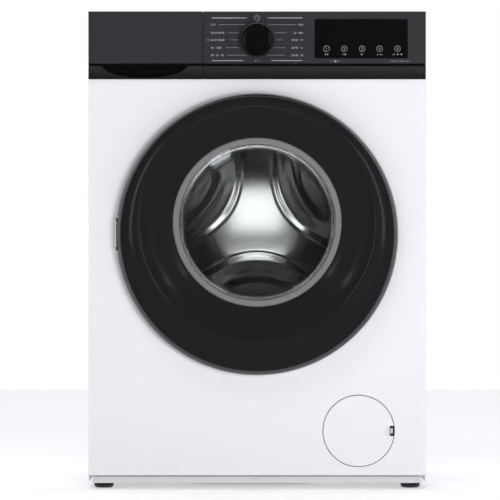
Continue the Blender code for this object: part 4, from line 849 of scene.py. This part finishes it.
# Painted shade: a thin gloss black strip in the groove's bottom stands in for the shade inside the groove.
strip = block((drawer_low.x + 0.0008, console_y + 0.0012, groove_low),
              (drawer_high.x - 0.0005, console_y + 0.0022, groove_high), 0.0003, 2)
fitted(strip, "drawer_groove_painted_shade", piano_black, "drawer", "black_gloss")
edges_where(front_of_drawer, lambda a, b: abs(a.y - console_y) < 2e-5 and abs(b.y - console_y) < 2e-5
            and max(a.z, b.z) < groove_low - 1e-5 and min(a.z, b.z) > drawer_low.z + 1e-4
            and max(abs(a.x - scoop_x), abs(b.x - scoop_x)) < 0.075)
bpy.ops.mesh.bevel(offset=0.0022, segments=5)
editing(False)
soften(front_of_drawer, 0.0005, 2, 50)
fitted(front_of_drawer, "drawer_moulding", charcoal, "drawer", "charcoal_plastic", "drawer_front")
faces_where(scoop_shade_liner, lambda c, n: c.z > groove_low + 0.0015 or c.y < console_y + 0.0002)
bpy.ops.mesh.delete(type="FACE")
bpy.ops.mesh.select_all(action="SELECT")
bpy.ops.mesh.normals_make_consistent(inside=True)
editing(False)
gauge(scoop_shade_liner, 0.0003, 1)
fitted(scoop_shade_liner, "finger_scoop", piano_black, "drawer", "black_gloss")

# ---- knob ------------------------------------------------------------------------------------
# The programme knob is moulded in black plastic with a flat face, a polished shoulder and a short
# pointer notch. Its spindle passes through the console to the switch behind.
knob_r = (knob_high.x - knob_low.x) / 2
knob_y, knob_foot = knob_low.y, console_y - 0.0003
shoulder = beside(knob_r, knob_y, [(-0.0075, 0.0006), (-0.0058, 0.0001), (-0.0044, 0), (-0.0022, 0.0008),
                                   (-0.0006, 0.0026), (-0.0001, 0.0060)])
crown = flowing([(0, knob_y + 0.0006), *shoulder, (knob_r, knob_foot - 0.002)], 4)
body = turned([*crown, (knob_r - 0.001, knob_foot), (0.0038, knob_foot), (0.0038, knob_high.y),
               (0, knob_high.y)], (knob.x, 0, knob.z), 128)
cut(body, block((knob.x - 0.0009, knob_y - 0.001, knob.z + 0.0175),
                (knob.x + 0.0009, knob_y + 0.0010, knob.z + 0.0245), 0.0004, 2))
fitted(body, "knob_moulding", piano_black, "knob", "black_gloss", "programme_knob")

# ---- display ---------------------------------------------------------------------------------
# The display is a flat black glass pane let into the console. The touch keys are printed on it in
# the next section.
pane = block(show_low, show_high, 0.0006, 3)
fitted(pane, "display_pane", piano_black, "cabinet", "black_gloss", "display_window")

# ---- printed marks ---------------------------------------------------------------------------
# The scales round the knob and the keys on the display are pad printed in light grey. Plain numbers
# and pictograms stand for the programmes.
print_grey = finish_of("print_grey", (0.40, 0.41, 0.43), 0.5, scale=300, shade=0.1)
INK = 0.00004
DOT = " \u00b7 "


def written(words, x, z, tall, align="LEFT", face=console_y):
    """A line of figures on a face of the console, with its capitals this tall."""
    bpy.ops.object.text_add(location=(x, face - INK, z - tall / 2), rotation=(math.pi / 2, 0, 0))
    line = bpy.context.active_object
    line.data.body = words
    line.data.size = tall / 0.69
    line.data.align_x = align
    line.data.extrude = INK
    line.data.resolution_u = 4
    bpy.ops.object.convert(target="MESH")
    return bpy.context.active_object


def bar(x0, x1, z0, z1):
    """A printed rectangle on the console."""
    return block((x0, console_y - 2 * INK, z0), (x1, console_y - INK / 4, z1))


def dash(x0, x1, z, thick):
    """A printed line."""
    return bar(x0, x1, z - thick / 2, z + thick / 2)


def hoop(x, z, radius, thick, face=console_y):
    """A printed ring."""
    front, back = face - 2 * INK, face - INK / 4
    return turned([(radius, front), (radius, back), (radius - thick, back), (radius - thick, front),
                   (radius, front)], (x, 0, z), 40)


def printed(name, marks):
    """Join marks into one printed piece."""
    only(marks[0])
    for mark in marks:
        mark.select_set(True)
    bpy.ops.object.join()
    return fitted(bpy.context.active_object, name, print_grey, "cabinet", "light_plastic")


rows = [knob.z + up for up in (0.0272, 0.0127, 0.0003, -0.0136, -0.0269)]
left = [("0:15", -0.068, -0.020), ("30 40 60 90", -0.050, -0.030), ("20 30 40 60", -0.047, -0.034),
        (f"40{DOT}1200", -0.056, -0.030), (f"20{DOT}30{DOT}40", -0.053, -0.019)]
right = [("0:30", 0.019, 0.069), (f"30{DOT}800", 0.031, 0.052), (f"40 60{DOT}14", 0.034, 0.047),
         (f"60 90{DOT}12", 0.030, 0.049), (f"20 40{DOT}10", 0.019, 0.048)]
scale = []
for z, (words, x0, x1), (others, x2, x3) in zip(rows, left, right):
    scale += [written(words, -0.082, z, 0.0034), dash(x0, x1, z, 0.0004),
              written(others, 0.081, z, 0.0034, "RIGHT"), dash(x2, x3, z, 0.0004)]
top_z, low_z = knob.z + 0.0391, knob.z - 0.0364
scale += [dash(-0.080, -0.018, top_z, 0.0012), dash(0.0185, 0.080, top_z, 0.0012),
          dash(-0.080, -0.0246, low_z, 0.0010), dash(0.0248, 0.080, low_z, 0.0010),
          hoop(0, top_z, 0.0050, 0.0006), written(f"0{DOT}1", 0, low_z, 0.0030, "CENTER"),
          bar(-0.0003, 0.0003, top_z - 0.0005, top_z + 0.0032),
          hoop(-0.0862, rows[2], 0.0022, 0.0004)]
printed("knob_scale", scale)

labels = ("0:00", "1400", "60\u00b0", f"3{DOT}6 h", f"20{DOT}40{DOT}90")
keys, key_z, label_z = [], show_low.z + 0.0165, show_low.z + 0.0065
for number, (x, words) in enumerate(zip((0.1228, 0.1543, 0.1857, 0.2168, 0.2482), labels), 1):
    keys += [hoop(x, key_z, 0.0053, 0.0005, show_low.y),
             written(str(number), x, key_z, 0.0042, "CENTER", show_low.y),
             written(words, x, label_z, 0.0026, "CENTER", show_low.y)]
printed("touch_keys", keys)

lock_z = show_low.z - 0.0055
printed("console_marks", [dash(0.130, 0.1345, lock_z, 0.0005), dash(0.142, 0.146, lock_z, 0.0005),
                          hoop(0.1383, lock_z + 0.0010, 0.0013, 0.0004),
                          bar(0.1366, 0.1400, lock_z - 0.0018, lock_z + 0.0008),
                          written(f"220-240 V{DOT}50 Hz{DOT}10 A", 0.269, lock_z, 0.0022, "RIGHT")])

# ---- back ------------------------------------------------------------------------------------
# The rear panel and its cover are held by zinc plated screws, and black caps close the four holes
# that the transit bolts leave.
rear_low, rear_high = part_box("rear_panel")
cover_low, cover_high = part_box("rear_service_cover")
edge, rail, flange = rear_high.x - 0.0085, 0.006, cover_low.y + 0.0010
places = [(side * edge, rear_high.y, rear_low.z + up) for side in (-1, 1)
          for up in (0.05, 0.24, 0.43, 0.62, 0.79)]
places += [(side * (cover_high.x - rail), flange, z) for side in (-1, 1)
           for z in (cover_low.z + 0.02, cover_high.z - 0.02)]
places += [(0, flange, z) for z in (cover_low.z + rail, cover_high.z - rail)]
screws("rear_screws", 0.0042, 0.0022, places, bright_steel, True)
cap = turned(flowing([(0, 0.0045), (0.0090, 0.0042), (0.0135, 0.0026), (0.0150, 0.0006), (0.0150, 0)], 4)
             + [(0, 0)], (0, 0, 0), 48)
corners = [(x, rear_high.y, z) for x in (-0.245, 0.245) for z in (0.20, 0.62)]
for number, twin in enumerate(copies(cap, corners), 1):
    fitted(twin, f"transit_cap_{number}", black_plastic, "cabinet", "black_plastic")

# ---- studio ----------------------------------------------------------------------------------
# A pale floor, a broad soft fill low in front, a smaller light above, two walls of light that show
# only in glossy surfaces, two lights that show only through the glass, and a long lens.
bpy.ops.mesh.primitive_plane_add(size=1, location=(0, 0, 0))
floor = bpy.context.active_object
floor.name = "floor"
floor.scale = (8, 8, 1)
bpy.ops.object.transform_apply(location=False, rotation=False, scale=True)
pale = finish_of("pale_floor", (0.94, 0.94, 0.94), 0.7, scale=3, shade=0.01, bump=(NOISE, 40, 0.02, 0.001))
dial(pale.node_tree.nodes["Principled BSDF"], Emission_Color=(1, 1, 1, 1), Emission_Strength=0.34)
floor.data.materials.append(pale)
floor.visible_glossy = False

world = bpy.data.worlds.new("studio")
bpy.context.scene.world = world
bpy.context.scene.view_settings.view_transform = "Standard"
world.use_nodes = True
sky, sky_links = world.node_tree.nodes, world.node_tree.links
way = sky.new("ShaderNodeTexCoord")
axes = sky.new("ShaderNodeSeparateXYZ")
lift = sky.new("ShaderNodeMath")
lift.operation = "ADD"
lift.inputs[1].default_value = 1.0
sky_links.new(way.outputs["Generated"], axes.inputs[0])
sky_links.new(axes.outputs["Y"], lift.inputs[0])
seen = sky.new("ShaderNodeLightPath")


def wall_of(dark, start, bright, stop):
    """A wall that is dark about the machine's front and bright towards its sides and back."""
    wall = sky.new("ShaderNodeValToRGB")
    wall.color_ramp.elements[0].position = start
    wall.color_ramp.elements[0].color = (*dark, 1)
    wall.color_ramp.elements[1].position = stop
    wall.color_ramp.elements[1].color = (*bright, 1)
    light = sky.new("ShaderNodeBackground")
    sky_links.new(lift.outputs[0], wall.inputs["Fac"])
    sky_links.new(wall.outputs["Color"], light.inputs["Color"])
    return light


room = wall_of((0.02, 0.02, 0.022), 0.80, (0.95, 0.96, 1.0), 0.98)
through_glass = wall_of((0.17, 0.17, 0.17), 0.02, (0.50, 0.50, 0.50), 0.22)
white = sky.new("ShaderNodeBackground")
inner = sky.new("ShaderNodeMixShader")
outer = sky.new("ShaderNodeMixShader")
sky_links.new(seen.outputs["Is Transmission Ray"], inner.inputs["Fac"])
sky_links.new(room.outputs[0], inner.inputs[1])
sky_links.new(through_glass.outputs[0], inner.inputs[2])
sky_links.new(seen.outputs["Is Camera Ray"], outer.inputs["Fac"])
sky_links.new(inner.outputs[0], outer.inputs[1])
sky_links.new(white.outputs[0], outer.inputs[2])
sky_links.new(outer.outputs[0], sky["World Output"].inputs["Surface"])
dial(white, Color=(1, 1, 1, 1))


def soft_light(name, place, aim, size, power, unseen):
    """A rectangular lamp at a place, turned to what it aims at and unseen by some kinds of ray."""
    bpy.ops.object.light_add(type="AREA", location=place)
    lamp = bpy.context.active_object
    lamp.name = name
    lamp.data.shape = "RECTANGLE"
    lamp.data.size, lamp.data.size_y = size
    lamp.data.energy = power
    lamp.rotation_euler = (Vector(aim) - Vector(place)).to_track_quat("-Z", "Y").to_euler()
    for rays in (*unseen, "camera"):
        setattr(lamp, f"visible_{rays}", False)


BROAD, IN_DRUM, IN_GLOSS = ("glossy", "transmission"), ("glossy", "diffuse"), ("diffuse", "transmission")
soft_light("front_fill", (0.7, -3.2, 0.15), (0, -0.24, 0.40), (1.6, 1.6), 104, BROAD)
soft_light("top_light", (-0.6, -1.6, 2.4), (0, -0.2, 0.5), (1.2, 0.8), 12, BROAD)
soft_light("drum_light", (0, -2.9, 0.69), (0, 0.1, 0.48), (0.75, 0.58), 2.7, IN_DRUM)
soft_light("low_light", (0, -1.15, 0.10), (0, 0.1, 0.40), (0.9, 0.18), 0.4, IN_DRUM)
for side in (-1, 1):
    soft_light("side_wall", (side * 1.02, -3.1, 0.85), (0, -0.25, 0.70), (0.50, 1.0), 0.9, IN_GLOSS)

camera_data = bpy.data.cameras.new("camera")
camera = bpy.data.objects.new("camera", camera_data)
bpy.context.collection.objects.link(camera)
bpy.context.scene.camera = camera
FRAME_WIDE = 0.885
DISTANCE = 6.0
camera_data.sensor_width = 36
camera_data.lens = camera_data.sensor_width * DISTANCE / FRAME_WIDE
camera_data.clip_end = 60
camera.location = (-0.0126, panel_y - DISTANCE, 0.423)
camera.rotation_euler = (math.radians(90), 0, 0)
